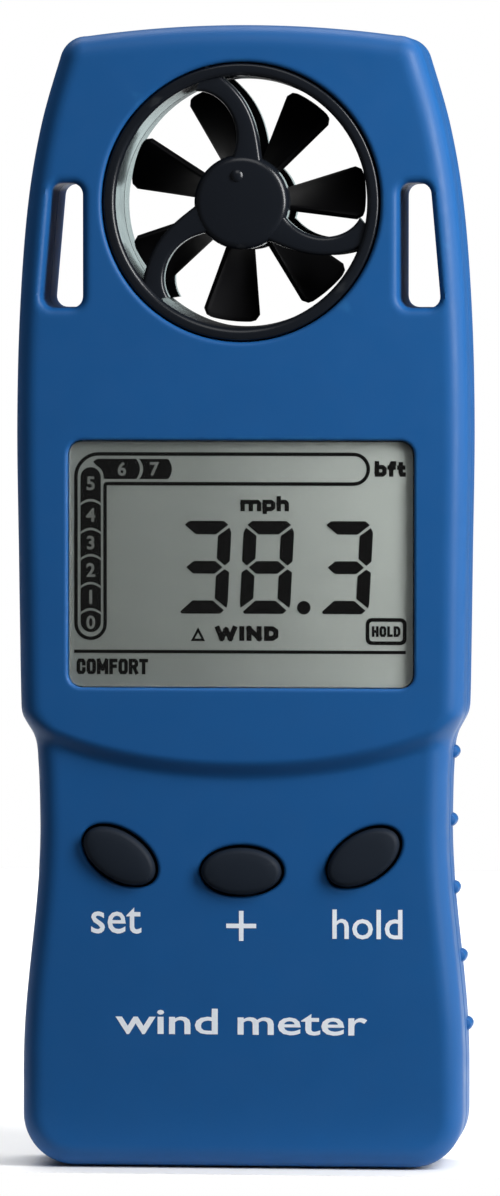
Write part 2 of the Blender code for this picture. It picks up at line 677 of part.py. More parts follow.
def make_battery(steel, nickel, door_plastic, seal_rubber):
    centre = (0, BATTERY_HEIGHT, 0)
    turned("coin_cell", [(0, CELL_FRONT), (8.6, CELL_FRONT), (8.9, CELL_FRONT - 0.3),
                         (CELL_RADIUS, CELL_FRONT - 0.4), (CELL_RADIUS, CELL_BACK + 0.3),
                         (CELL_RADIUS - 0.3, CELL_BACK), (0, CELL_BACK)], steel, at=centre)
    door = turned("battery_door", [(0, -8.0), (10.4, -8.0), (10.4, -5.0), (DOOR_NECK, -5.0),
                                   (DOOR_NECK, -8.0), (DOOR_RADIUS, -8.0), (DOOR_RADIUS, -8.8),
                                   (DOOR_RADIUS - 0.2, -9.0), (0, -9.0)], door_plastic,
                  at=centre, steps=40)
    lugs = box("door_lugs", (2 * DOOR_RADIUS - 0.6, 4.4, 0.5), (0, BATTERY_HEIGHT, -5.35))
    cut(lugs, disc("lug_inside", 11.0, -7, -3, at=centre, steps=36))
    fuse(door, lugs)
    cut(door, box("coin_slot", (14, 1.8, 1.2), (0, BATTERY_HEIGHT, -9.0)))
    turned("battery_door_seal", [(DOOR_SEAL_RADIUS + 0.45 * math.sin(2 * math.pi * i / 8),
                                  DOOR_SEAL_DEPTH + 0.32 * math.cos(2 * math.pi * i / 8))
                                 for i in range(8)], seal_rubber, at=centre, closed=True)
    strip("negative_contact", [(-5, -0.9), (-3, -0.9), (1.5, -3.4), (3.5, -3.9), (5.5, -3.2)],
          CONTACT_WIDTH, CONTACT_THICKNESS, nickel, at=centre)
    strip("positive_contact", [(7.0, -1.2), (10.75, -1.2), (10.75, -4.6)], CONTACT_WIDTH,
          CONTACT_THICKNESS, nickel, at=centre, turn=90)


def main():
    blue = principled("case_blue", (0.018, 0.09, 0.26), 0.5)
    black = principled("fan_black", (0.012, 0.014, 0.018), 0.25)
    rotor_black = principled("impeller_black", (0.008, 0.008, 0.009), 0.4)
    steel = principled("steel", (0.6, 0.6, 0.6), 0.3, metallic=1.0)
    nickel = principled("nickel", (0.7, 0.66, 0.58), 0.25, metallic=1.0)
    key_rubber = principled("key_rubber", (0.012, 0.016, 0.022), 0.6)
    mat_rubber = principled("mat_rubber", (0.1, 0.1, 0.11), 0.8)
    seal_rubber = principled("seal_rubber", (0.01, 0.01, 0.01), 0.8)
    white = principled("frame_white", (0.7, 0.7, 0.68), 0.5)
    sensor_black = principled("sensor_black", (0.015, 0.015, 0.015), 0.5)

    make_front_shell(blue)
    make_rear_shell(blue)
    make_seal(seal_rubber)
    make_case_screws(steel)
    make_fan(black, rotor_black, steel, principled("jewel", (0.45, 0.03, 0.06), 0.1),
             principled("magnet", (0.16, 0.16, 0.17), 0.4, metallic=0.6))
    make_display(principled("window_clear", (0.9, 0.95, 0.95), 0.05, transmission=0.9), white,
                 principled("lcd_glass", (0.2, 0.21, 0.19), 0.2),
                 principled("reflector", (0.7, 0.7, 0.68), 0.35, metallic=0.7),
                 principled("elastomer", (0.75, 0.5, 0.5), 0.7))
    make_electronics(principled("board_green", (0.02, 0.15, 0.06), 0.4),
                     principled("epoxy_black", (0.01, 0.01, 0.012), 0.3),
                     principled("crystal_can", (0.65, 0.66, 0.67), 0.25, metallic=1.0),
                     principled("capacitor_sleeve", (0.02, 0.03, 0.12), 0.35),
                     sensor_black, white, steel)
    make_keys(key_rubber, mat_rubber, principled("carbon_pill", (0.01, 0.01, 0.01), 0.7))
    make_battery(steel, nickel, blue, seal_rubber)


main()
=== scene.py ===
"""Looks of the handheld weather meter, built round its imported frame.

Sizes are in millimetres unless a name says otherwise, and MM turns them into metres. Shapes are
drawn in the face frame: x to the right, up along the face, and depth out of the face towards the
reader, so depth points along -Y in the world.
"""

import json
import math

import bmesh
import bpy
import numpy as np
from mathutils import Matrix, Vector
from mathutils.geometry import delaunay_2d_cdt

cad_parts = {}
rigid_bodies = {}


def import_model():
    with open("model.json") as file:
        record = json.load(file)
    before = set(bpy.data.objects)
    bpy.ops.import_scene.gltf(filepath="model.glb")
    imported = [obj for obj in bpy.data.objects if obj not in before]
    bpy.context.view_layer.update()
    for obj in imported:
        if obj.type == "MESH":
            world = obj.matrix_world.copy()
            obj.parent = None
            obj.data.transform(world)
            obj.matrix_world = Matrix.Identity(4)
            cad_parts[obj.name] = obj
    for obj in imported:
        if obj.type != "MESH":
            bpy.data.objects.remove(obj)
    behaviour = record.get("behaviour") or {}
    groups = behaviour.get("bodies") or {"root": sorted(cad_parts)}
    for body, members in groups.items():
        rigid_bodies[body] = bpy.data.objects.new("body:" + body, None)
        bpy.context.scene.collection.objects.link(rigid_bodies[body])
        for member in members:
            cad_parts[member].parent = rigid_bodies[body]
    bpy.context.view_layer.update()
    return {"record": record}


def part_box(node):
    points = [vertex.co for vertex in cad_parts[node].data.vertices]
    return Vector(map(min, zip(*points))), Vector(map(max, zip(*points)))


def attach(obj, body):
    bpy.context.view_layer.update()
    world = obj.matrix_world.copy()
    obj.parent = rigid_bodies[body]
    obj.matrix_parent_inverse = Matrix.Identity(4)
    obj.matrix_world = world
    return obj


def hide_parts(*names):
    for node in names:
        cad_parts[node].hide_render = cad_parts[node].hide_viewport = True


MM = 0.001

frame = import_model()


def node_box(node):
    """A CAD node's box in the face frame: ((x, up, depth) lowest, (x, up, depth) highest)."""
    low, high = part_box(node)
    return ((low.x / MM, low.z / MM, -high.y / MM), (high.x / MM, high.z / MM, -low.y / MM))


def node_middle(node):
    low, high = node_box(node)
    return tuple((a + b) / 2 for a, b in zip(low, high))


# ---------------------------------------------------------------- sizes

FRONT_BOX = node_box("front_shell")
CASE_HEIGHT = FRONT_BOX[1][1]
CASE_FRONT = FRONT_BOX[1][2]
CASE_BACK = node_box("rear_shell")[0][2]
GRIP_FRONT = CASE_FRONT - 1.4
PARTING = 0.2
EDGE_ROUND = 2.7
BACK_ROUND = 2.4
SHELL_SKIN = 1.0
OUTLINE_SPACING = 0.5

FOOT_HALF_WIDTH = 27.15
WAIST_HALF_WIDTH = 25.05
FOOT_CORNER = 6.4
FOOT_TOP = 12.0
WAIST_TOP = 42.0
SIDE = [(42.0, 25.05), (47.0, 25.15), (50.0, 25.3), (51.8, 25.45), (53.2, 25.85), (54.6, 26.6),
        (55.8, 27.1), (58.0, 27.25), (66.0, 27.38), (75.0, 27.5), (91.0, 27.7), (105.0, 27.35),
        (118.0, 26.35), (128.0, 24.65), (136.4, 22.24)]
TOP_CORNER = (19.1, 135.4)
TOP_CORNER_RADIUS = 3.3
TOP_ARC_RADIUS = 138.0
STEP_MIDDLE = 48.9
STEP_HALF_WIDTH = 1.3

FAN = node_middle("impeller")
FAN_HOLE = 17.1
SLOT_INNER = 19.4
SLOT_OUTER_TOP = 23.3
SLOT_OUTER_FOOT = 24.4
SLOT_TOP = 120.7
SLOT_FOOT = 105.5

WINDOW = node_middle("display_window")
WINDOW_WIDTH = 42.5
WINDOW_HEIGHT = 30.3
KEY_TURNS = {"set": -33.0, "plus": 0.0, "hold": 33.0}
KEY_WIDTH = 9.9
KEY_HEIGHT = 5.8
KEY_CLEARANCE = 0.3
KEY_FRONT = node_box("plus_button")[1][2]
DOOR = node_middle("battery_door")
DOOR_RECESS = 13.1
SCREW_RECESS = 4.8
CASE_SCREWS = ["upper_left", "upper_right", "lower_left", "lower_right"]
RIB_FIRST = 50.6
RIB_PITCH = 8.42
RIBS = 5


# ---------------------------------------------------------------- outlines

def arc(center, radius, start, end, steps=5):
    """Points from angle start to end, in degrees."""
    angles = np.radians(np.linspace(start, end, steps + 1))
    return [(center[0] + radius * math.cos(a), center[1] + radius * math.sin(a)) for a in angles]


def ellipse(width, height, steps, center=(0.0, 0.0), turn=0.0):
    lean = math.radians(turn)
    points = []
    for i in range(steps):
        angle = 2 * math.pi * i / steps
        x, y = width / 2 * math.cos(angle), height / 2 * math.sin(angle)
        points.append((center[0] + x * math.cos(lean) - y * math.sin(lean),
                       center[1] + x * math.sin(lean) + y * math.cos(lean)))
    return points


def rounded_box(width, height, radius, center=(0.0, 0.0), steps=8):
    points = []
    for start, side_x, side_y in ((0, 1, 1), (90, -1, 1), (180, -1, -1), (270, 1, -1)):
        corner = (center[0] + side_x * (width / 2 - radius),
                  center[1] + side_y * (height / 2 - radius))
        points += arc(corner, radius, start, start + 90, steps)
    return points


def smooth_side(knots, step):
    """(half width, height) points of a smooth curve through (height, half width) knots."""
    points = []
    last = len(knots) - 1
    for i in range(last):
        near = [knots[max(i - 1, 0)], knots[i], knots[i + 1], knots[min(i + 2, last)]]
        for t in np.arange(0, 1, step / (near[2][0] - near[1][0])):
            weights = ((-t + 2 * t ** 2 - t ** 3) / 2, 1 - (5 * t ** 2 - 3 * t ** 3) / 2,
                       (t + 4 * t ** 2 - 3 * t ** 3) / 2, (t ** 3 - t ** 2) / 2)
            points.append((sum(w * knot[1] for w, knot in zip(weights, near)),
                           sum(w * knot[0] for w, knot in zip(weights, near))))
    return points


def evenly(points, spacing):
    """The closed outline with points at even distances along it."""
    closed = np.array(points + points[:1])
    along = np.concatenate([[0], np.cumsum(np.hypot(*np.diff(closed, axis=0).T))])
    count = max(8, round(along[-1] / spacing))
    at = np.linspace(0, along[-1], count, endpoint=False)
    return np.stack([np.interp(at, along, closed[:, 0]), np.interp(at, along, closed[:, 1])], 1)


def case_outline():
    """The silhouette, counter-clockwise from the middle of the foot."""
    side = arc((FOOT_HALF_WIDTH - FOOT_CORNER, FOOT_CORNER), FOOT_CORNER, -90, 0, 24)
    swell = FOOT_HALF_WIDTH - WAIST_HALF_WIDTH
    for t in np.linspace(0, 1, 40)[:-1]:
        side.append((FOOT_HALF_WIDTH - swell * (1 - math.cos(math.pi * t)) / 2,
                     FOOT_TOP + (WAIST_TOP - FOOT_TOP) * t))
    side += smooth_side(SIDE, 0.4)
    side += arc(TOP_CORNER, TOP_CORNER_RADIUS, 18, 82, 16)
    side += [(x, CASE_HEIGHT - x ** 2 / (2 * TOP_ARC_RADIUS)) for x in np.linspace(19, 0, 30)]
    return evenly(side + [(-x, y) for x, y in reversed(side) if x > 1e-6], OUTLINE_SPACING)


def slot_outline(side):
    """A lanyard slot, wider at its foot, on side +1 or -1."""
    corner = 1.35
    points = []
    for x, y, inward_x, inward_y, start in ((SLOT_INNER, SLOT_FOOT, 1, 1, 180),
                                            (SLOT_OUTER_FOOT, SLOT_FOOT, -1, 1, 270),
                                            (SLOT_OUTER_TOP, SLOT_TOP, -1, -1, 0),
                                            (SLOT_INNER, SLOT_TOP, 1, -1, 90)):
        points += arc((x + inward_x * corner, y + inward_y * corner), corner, start, start + 90, 8)
    if side < 0:
        points = [(-x, y) for x, y in reversed(points)]
    return evenly(points, 0.35)


def inset(points, distance):
    """A closed counter-clockwise outline moved inwards, or outwards if distance is negative."""
    ahead, behind = np.roll(points, -1, 0) - points, points - np.roll(points, 1, 0)
    ahead /= np.hypot(*ahead.T)[:, None]
    behind /= np.hypot(*behind.T)[:, None]
    normal = np.stack([-(ahead + behind)[:, 1], (ahead + behind)[:, 0]], 1)
    return points + normal * (2 * distance / (normal ** 2).sum(1))[:, None]


def distance_to(points, outline):
    """Distance of each point to a closed outline."""
    start, end = outline, np.roll(outline, -1, 0)
    run = end - start
    nearest = np.full(len(points), np.inf)
    for a, d in zip(start, run):
        t = np.clip(((points - a) @ d) / (d @ d), 0, 1)
        gap = points - a - t[:, None] * d
        nearest = np.minimum(nearest, np.hypot(gap[:, 0], gap[:, 1]))
    return nearest


def inside(points, outline):
    x, y = points[:, 0], points[:, 1]
    within = np.zeros(len(points), bool)
    for (ax, ay), (bx, by) in zip(outline, np.roll(outline, -1, 0)):
        if ay != by:
            crosses = ((ay > y) != (by > y)) & (x < (bx - ax) * (y - ay) / (by - ay) + ax)
            within ^= crosses
    return within


# ---------------------------------------------------------------- meshes

def make_mesh(name, points, faces):
    """A mesh from face-frame points in millimetres, its faces turned outwards."""
    mesh = bpy.data.meshes.new(name)
    mesh.from_pydata([(x * MM, -depth * MM, up * MM) for x, up, depth in points], [], faces)
    shape = bmesh.new()
    shape.from_mesh(mesh)
    bmesh.ops.remove_doubles(shape, verts=shape.verts, dist=0.002 * MM)
    bmesh.ops.recalc_face_normals(shape, faces=shape.faces)
    shape.to_mesh(mesh)
    shape.free()
    return mesh


def add_object(name, data):
    """A new object in the scene that shows this data."""
    obj = bpy.data.objects.new(name, data)
    bpy.context.scene.collection.objects.link(obj)
    return obj


def make_object(name, points, faces):
    return add_object(name, make_mesh(name, points, faces))


def apply_modifiers(obj):
    evaluated = obj.evaluated_get(bpy.context.evaluated_depsgraph_get())
    mesh = bpy.data.meshes.new_from_object(evaluated)
    obj.modifiers.clear()
    obj.data = mesh
    mesh.name = obj.name
    return obj


def combine(obj, others, operation):
    """Join others to obj with UNION, or cut them out of it with DIFFERENCE."""
    for other in others:
        boolean = obj.modifiers.new(other.name, "BOOLEAN")
        boolean.object = other
        boolean.operation = operation
        boolean.solver = "EXACT"
    apply_modifiers(obj)
    for other in others:
        bpy.data.objects.remove(other)
    return obj


def bevel(obj, width, segments=2, angle=40.0):
    edge = obj.modifiers.new("edge", "BEVEL")
    edge.width = width * MM
    edge.segments = segments
    edge.limit_method = "ANGLE"
    edge.angle_limit = math.radians(angle)
    return apply_modifiers(obj)


def solidify(obj, thickness, offset=-1.0):
    wall = obj.modifiers.new("wall", "SOLIDIFY")
    wall.thickness = thickness * MM
    wall.offset = offset
    return apply_modifiers(obj)


def piece(obj, body, material, replaces=(), sharp_angle=38.0):
    """Shade a finished mesh, give it its material and let it ride on its body."""
    mesh = obj.data
    mesh.materials.clear()
    mesh.materials.append(material)
    mesh.shade_smooth()
    mesh.set_sharp_from_angle(angle=math.radians(sharp_angle))
    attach(obj, body)
    if replaces:
        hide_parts(*replaces)
    return obj


def rings(loops, close_first=False, close_last=False):
    """Points and faces of a surface through loops of equally many points."""
    count = len(loops[0])
    points = [tuple(point) for loop in loops for point in loop]
    faces = []
    for row in range(len(loops) - 1):
        for i in range(count):
            j = (i + 1) % count
            faces.append((row * count + i, row * count + j, (row + 1) * count + j,
                          (row + 1) * count + i))
    if close_first:
        faces.append(tuple(range(count)))
    if close_last:
        faces.append(tuple(range((len(loops) - 1) * count, len(loops) * count)))
    return points, faces


def turned(name, profile, center, steps=128):
    """A body turned about the depth axis; a profile that starts or ends off the axis is closed."""
    angles = np.linspace(0, 2 * math.pi, steps, endpoint=False)
    closed = profile[0][0] > 0 and profile[-1][0] > 0
    if closed:
        profile = profile + profile[:1]
    loops = [[(center[0] + max(radius, 1e-4) * math.cos(a), center[1] + max(radius, 1e-4)
               * math.sin(a), depth) for a in angles] for radius, depth in profile]
    return make_object(name, *rings(loops, not closed, not closed))


def prism(name, outline, low, high, rounding=0.0, steps=4):
    """A flat outline from depth low to depth high with a rounded front rim."""
    outline = np.array(outline)
    loops = [[(x, y, low) for x, y in outline]]
    if rounding:
        for angle in np.radians(np.linspace(0, 90, steps + 1)):
            ring = inset(outline, rounding * (1 - math.cos(angle)))
            depth = high - rounding * (1 - math.sin(angle))
            loops.append([(x, y, depth) for x, y in ring])
    else:
        loops.append([(x, y, high) for x, y in outline])
    return make_object(name, *rings(loops, True, True))


# ---------------------------------------------------------------- shells

def rounded_drop(distance, radius):
    """How far a rounded rim lies below its face at a distance from the edge."""
    left = np.clip(radius - distance, 0, radius)
    return radius - np.sqrt(radius ** 2 - left ** 2)


def rim_offsets(radius):
    steps = 3 if radius < 0.8 else 4 if radius < 1.5 else 8
    angles = np.radians(np.linspace(0, 90, steps + 1)[1:])
    return [radius * (1 - math.cos(a)) for a in angles] + [radius + min(0.4, radius * 0.5)]


def guide_points(features, extra):
    """Points along the rounded rims and over the face, none too near another rim.

    features are (loop, rounding), the outline first and then the holes in it.
    """
    clear = 0.1
    guides = []
    for own, (loop, radius) in enumerate(features):
        for offset in rim_offsets(radius):
            ring = inset(loop, offset if own == 0 else -offset)
            keep = np.ones(len(ring), bool)
            for index, (other, _) in enumerate(features):
                limit = offset * 0.93 if index == own else clear
                keep &= distance_to(ring, other) > limit
            guides.append(ring[keep])
    keep = np.ones(len(extra), bool)
    for loop, radius in features:
        keep &= distance_to(extra, loop) > radius + 0.7
    guides = np.concatenate(guides + [extra[keep]])
    keep = inside(guides, features[0][0])
    for hole, _ in features[1:]:
        keep &= ~inside(guides, hole)
    return guides[keep]


def shell_skin(name, sign, outline, rounding, holes, base, extra):
    """The outer skin of half a case, and the walls of its outline and its holes.

    base gives the face's height over the parting plane, holes are (outline, rounding, inner
    rings as (inset, height)), extra points refine the face, and sign is +1 for the front.
    """
    features = [(outline, rounding)] + [(hole, radius) for hole, radius, inner in holes]
    flat = [Vector(point) for loop, radius in features for point in loop]
    edges, start, spans = [], 0, []
    for loop, radius in features:
        count = len(loop)
        edges += [(start + i, start + (i + 1) % count) for i in range(count)]
        spans.append(range(start, start + count))
        start += count
    flat += [Vector(point) for point in guide_points(features, extra)]
    corners, _, faces, sources, _, _ = delaunay_2d_cdt(flat, edges, [], 2, 1e-3)
    spot = {source: i for i, group in enumerate(sources) for source in group}

    plane = np.array([tuple(corner_point) for corner_point in corners])
    drop = sum(rounded_drop(distance_to(plane, loop), radius) ** 3
               for loop, radius in features) ** (1 / 3)
    height = base(plane[:, 0], plane[:, 1]) - drop
    points = [(x, y, h * sign) for (x, y), h in zip(plane, height)]
    middles = np.array([plane[list(face)].mean(0) for face in faces])
    solid = ~np.any([inside(middles, hole) for hole, radius, inner in holes], axis=0)
    faces = [tuple(face) for face, keep in zip(faces, solid) if keep]

    def add_wall(span, ring_shapes):
        """Rows below one rim: each shape is (outline points, heights)."""
        above = [spot[i] for i in span]
        for ring, heights in ring_shapes:
            first = len(points)
            points.extend((x, y, h * sign) for (x, y), h in zip(ring, heights))
            below = list(range(first, first + len(above)))
            for i in range(len(above)):
                j = (i + 1) % len(above)
                faces.append((above[i], above[j], below[j], below[i]))
            above = below

    def wall_rows(loop, span, bottom, rows):
        top = np.array([height[spot[i]] for i in span])
        return [(loop, top + (bottom - top) * (row + 1) / rows) for row in range(rows)]

    level = np.ones(len(outline))
    add_wall(spans[0], wall_rows(outline, spans[0], PARTING + 0.25, 4)
             + [(inset(outline, 0.1), level * (PARTING + 0.07)),
                (inset(outline, 0.3), level * PARTING)])
    for span, (hole, radius, inner) in zip(spans[1:], holes):
        level = np.ones(len(hole))
        shapes = wall_rows(hole, span, inner[0][1], 3)
        shapes += [(inset(hole, distance), level * depth) for distance, depth in inner[1:]]
        add_wall(span, shapes)
    return make_object(name, points, faces)


def step_line(x):
    return STEP_MIDDLE + 0.006 * x ** 2 + 2.5e-6 * x ** 4


def front_height(x, up):
    """Head and grip faces, joined by the curved step."""
    slope = 0.012 * x + 1e-5 * x ** 3
    offset = (up - step_line(x)) / np.sqrt(1 + slope ** 2)
    t = np.clip((offset + STEP_HALF_WIDTH) / (2 * STEP_HALF_WIDTH), 0, 1)
    return GRIP_FRONT + (CASE_FRONT - GRIP_FRONT) * (t * t * (3 - 2 * t))


def back_height(x, up):
    """The back's face, which is flat."""
    return np.full(len(x), -CASE_BACK)


def face_grid(spacing=3.1):
    across, upwards = np.meshgrid(np.arange(-26, 26.1, spacing), np.arange(2, 138, spacing))
    return np.stack([across.ravel(), upwards.ravel()], 1)


def step_points():
    rows = [np.stack([x, step_line(x) + offset], 1)
            for x in [np.linspace(-26, 26, 75)]
            for offset in np.linspace(-STEP_HALF_WIDTH - 0.3, STEP_HALF_WIDTH + 0.3, 13)]
    return np.concatenate(rows)


def fan_hole():
    return np.array(ellipse(2 * FAN_HOLE, 2 * FAN_HOLE, 200, FAN[:2]))


def key_hole(name):
    clear = 2 * KEY_CLEARANCE
    return np.array(ellipse(KEY_WIDTH + clear, KEY_HEIGHT + clear, 72,
                            node_middle(name + "_button")[:2], KEY_TURNS[name]))


def make_front_shell(material):
    slots = [(slot_outline(side), 1.0, [(0, PARTING)]) for side in (-1, 1)]
    window = evenly(rounded_box(WINDOW_WIDTH, WINDOW_HEIGHT, 1.7, WINDOW[:2]), 0.6)
    holes = slots + [(fan_hole(), 0.5, [(0, PARTING)]), (window, 0.4, [(0, CASE_FRONT - 2.0)])]
    holes += [(key_hole(name), 0.4, [(0, GRIP_FRONT - 1.6)]) for name in KEY_TURNS]
    shell = shell_skin("front_shell_moulding", 1, case_outline(), EDGE_ROUND, holes, front_height,
                       np.concatenate([face_grid(), step_points()]))
    piece(solidify(shell, SHELL_SKIN), "case", material, ["front_shell"])


def make_rear_shell(material):
    slots = [(slot_outline(side), 0.8, [(0, PARTING)]) for side in (-1, 1)]
    door = np.array(ellipse(2 * DOOR_RECESS, 2 * DOOR_RECESS, 144, DOOR[:2]))
    door_ledge = [(0, 6.75), (0.15, 6.7), (1.25, 6.7), (1.4, 6.6), (1.4, 5.9)]
    screw_seat = [(0, 6.5), (0.1, 6.4), (1.0, 6.4), (1.1, 6.3), (1.1, 4.0)]
    holes = slots + [(fan_hole(), 0.5, [(0, PARTING)]), (door, 0.3, door_ledge)]
    for name in CASE_SCREWS:
        recess = ellipse(SCREW_RECESS, SCREW_RECESS, 48, node_middle("case_screw_" + name)[:2])
        holes.append((np.array(recess), 0.25, screw_seat))
    shell = shell_skin("rear_shell_moulding", -1, case_outline(), BACK_ROUND, holes, back_height,
                       face_grid())
    piece(solidify(shell, SHELL_SKIN), "case", material, ["rear_shell"])


def side_width(height):
    outline = case_outline()
    right = outline[outline[:, 0] > 20]
    right = right[np.argsort(right[:, 1])]
    return float(np.interp(height, right[:, 1], right[:, 0]))


def make_grip_ribs(material):
    """Five rounded bars down each side of the rear shell."""
    points, faces = [], []
    low, high, radius, sunk = 3.0, 7.4, 0.95, 0.25
    for index in range(RIBS):
        up = RIB_FIRST - RIB_PITCH * index
        for side in (-1, 1):
            x = side * (side_width(up) - sunk)
            loops = []
            for t in np.linspace(-1, 1, 15):
                swell = radius * math.sqrt(max(1 - abs(t) ** 6, 0.0004))
                depth = -(low + high) / 2 + t * (high - low) / 2
                loops.append([(x + swell * math.cos(a), up + 0.9 * swell * math.sin(a), depth)
                              for a in np.linspace(0, 2 * math.pi, 20, endpoint=False)])
            bar_points, bar_faces = rings(loops, True, True)
            faces += [tuple(i + len(points) for i in face) for face in bar_faces]
            points += bar_points
    piece(make_object("grip_ribs", points, faces), "case", material)


# ---------------------------------------------------------------- fan

RING_INNER = 15.2
RING_OUTER = 16.9
RING_FRONT = 8.8
GUARD_HUB = 5.8
GUARD_HUB_FRONT = 8.5
STRUTS = 3
STRUT_START = 5.0
STRUT_REACH = 11.0
STRUT_ANGLE = 83
BLADES = 7
BLADE_TIP = 14.7
BLADE_SWEEP = 26.0
BLADE_DEPTH = 6.0
FIRST_BLADE = 5.0
ROTOR_HUB = 5.2


def strut_point(t):
    """Middle of a guard strut at t from the hub to the ring, with its direction and half width."""
    def place(at):
        radius = STRUT_START + STRUT_REACH * at
        angle = math.radians(STRUT_ANGLE + 2 * at + 23 * at ** 2)
        return Vector((radius * math.cos(angle), radius * math.sin(angle)))
    along = (place(t + 0.01) - place(t - 0.01)).normalized()
    return place(t), along, 1.1 + 0.75 * t ** 9 + 0.8 * (1 - t) ** 4


def make_strut(name, face, turn):
    """One curved guard strut with a rounded front, from inside the hub to inside the ring."""
    spin = Matrix.Rotation(math.radians(turn), 2)
    low, high, edge = 6.1, 8.25, 0.55
    loops = []
    for t in np.linspace(0, 1, 41):
        middle, along, half = strut_point(t)
        across = Vector((along.y, -along.x))
        section = [(-half, low), (half, low)]
        section += arc((half - edge, high - edge), edge, 0, 90, 4)
        section += arc((edge - half, high - edge), edge, 90, 180, 4)
        loop = []
        for sideways, depth in section:
            spot = spin @ (middle + across * sideways)
            loop.append((FAN[0] + spot.x, FAN[1] + spot.y, depth * face))
        loops.append(loop)
    return make_object(name, *rings(loops, True, True))


def make_fan_housing(name, face, material):
    """Half of the fan cartridge: a ring, a hub and three curved struts."""
    wall = arc((RING_OUTER - 0.35, RING_FRONT - 0.35), 0.35, 90, 0)
    wall += [(RING_OUTER, 1.2), (17.9, 1.2), (17.9, 0.12), (RING_INNER + 0.12, 0.12),
             (RING_INNER, 0.24), (RING_INNER + 0.1, 4.0), (RING_INNER + 0.2, RING_FRONT - 0.8)]
    wall += arc((RING_INNER + 0.9, RING_FRONT - 0.7), 0.7, 180, 90, 7)
    hub = [(0, GUARD_HUB_FRONT + 0.12), (1.6, GUARD_HUB_FRONT + 0.11),
           (3.2, GUARD_HUB_FRONT + 0.07)]
    hub += arc((GUARD_HUB - 1.0, GUARD_HUB_FRONT - 1.0), 1.0, 90, 0, 7)
    hub += [(GUARD_HUB, 5.1), (GUARD_HUB - 0.2, 4.9), (1.9, 4.9), (1.9, 6.9), (0, 6.9)]
    if face < 0:
        wall = [(radius, -depth) for radius, depth in wall]
        hub = [(radius, -depth) for radius, depth in hub]
    housing = turned(name + "_moulding", wall, FAN[:2], 160)
    parts = [turned(name + "_hub", hub, FAN[:2], 96)]
    parts += [make_strut(f"{name}_strut_{i}", face, 120 * i) for i in range(STRUTS)]
    combine(housing, parts, "UNION")
    dome = [(radius, face * (GUARD_HUB_FRONT + rise)) for radius, rise in
            ((0, 0.4), (0.3, 0.38), (0.56, 0.3), (0.74, 0.15), (0.8, -0.1), (0, -0.1))]
    combine(housing, [turned(name + "_gate", dome, (FAN[0] - 0.5, FAN[1] + 3.2), 32)], "UNION")
    return piece(housing, "case", material, [name], 32)


def make_blade(index):
    """A helical blade with rounded tip corners, solid, from inside the hub to its tip."""
    start, thickness = ROTOR_HUB - 0.5, 0.8
    reach_steps, tilt_steps = 14, 12
    points, faces = [], []
    for j in range(tilt_steps + 1):
        across = 2 * j / tilt_steps - 1
        for i in range(reach_steps + 1):
            reach = i / reach_steps
            tip = BLADE_TIP - 1.3 * max(0, abs(across) - 0.72) ** 2 / 0.28 ** 2 * 0.62
            radius = start + (tip - start) * reach
            angle = math.radians(FIRST_BLADE + 360 * index / BLADES + BLADE_SWEEP / 2 * across)
            points.append((FAN[0] + radius * math.cos(angle), FAN[1] + radius * math.sin(angle),
                           -across * (BLADE_DEPTH - thickness) / 2))
    for j in range(tilt_steps):
        for i in range(reach_steps):
            a = j * (reach_steps + 1) + i
            faces.append((a, a + 1, a + reach_steps + 2, a + reach_steps + 1))
    blade = make_object(f"blade_{index}", points, faces)
    solidify(blade, thickness, 0.0)
    return bevel(blade, 0.18, 2, 60)


def make_impeller(material):
    hub = [(0.9, 4.0)]
    hub += arc((ROTOR_HUB - 0.8, 3.2), 0.8, 90, 0)
    hub += [(ROTOR_HUB, -3.9), (ROTOR_HUB - 0.1, -4.0), (4.4, -4.0), (4.3, -3.9), (4.3, 0.8),
            (1.9, 0.8), (1.9, -4.0), (0.9, -4.0)]
    impeller = turned("impeller_rotor", hub, FAN[:2], 96)
    core = turned("blade_core", [(0.2, 5), (4.75, 5), (4.75, -5), (0.2, -5)], FAN[:2], 64)
    blades = []
    for index in range(BLADES):
        blade = make_blade(index)
        combine(blade, [add_object(core.name, core.data)], "DIFFERENCE")
        blades.append(blade)
    bpy.data.objects.remove(core)
    combine(impeller, blades, "UNION")
    piece(impeller, "impeller", material, ["impeller"], 32)


# ---------------------------------------------------------------- display

WINDOW_FRONT = node_box("display_window")[1][2]
PANE = 0.3
INK = 0.04
PANEL_FRONT = WINDOW_FRONT - PANE - INK - 0.05
DIGIT_WIDTH = 6.2
DIGIT_HEIGHT = 11.35
DIGIT_LEAN = math.tan(math.radians(3))
DIGIT_FOOT = -6.04
LIT = {"3": "abgcd", "8": "abcdefg"}
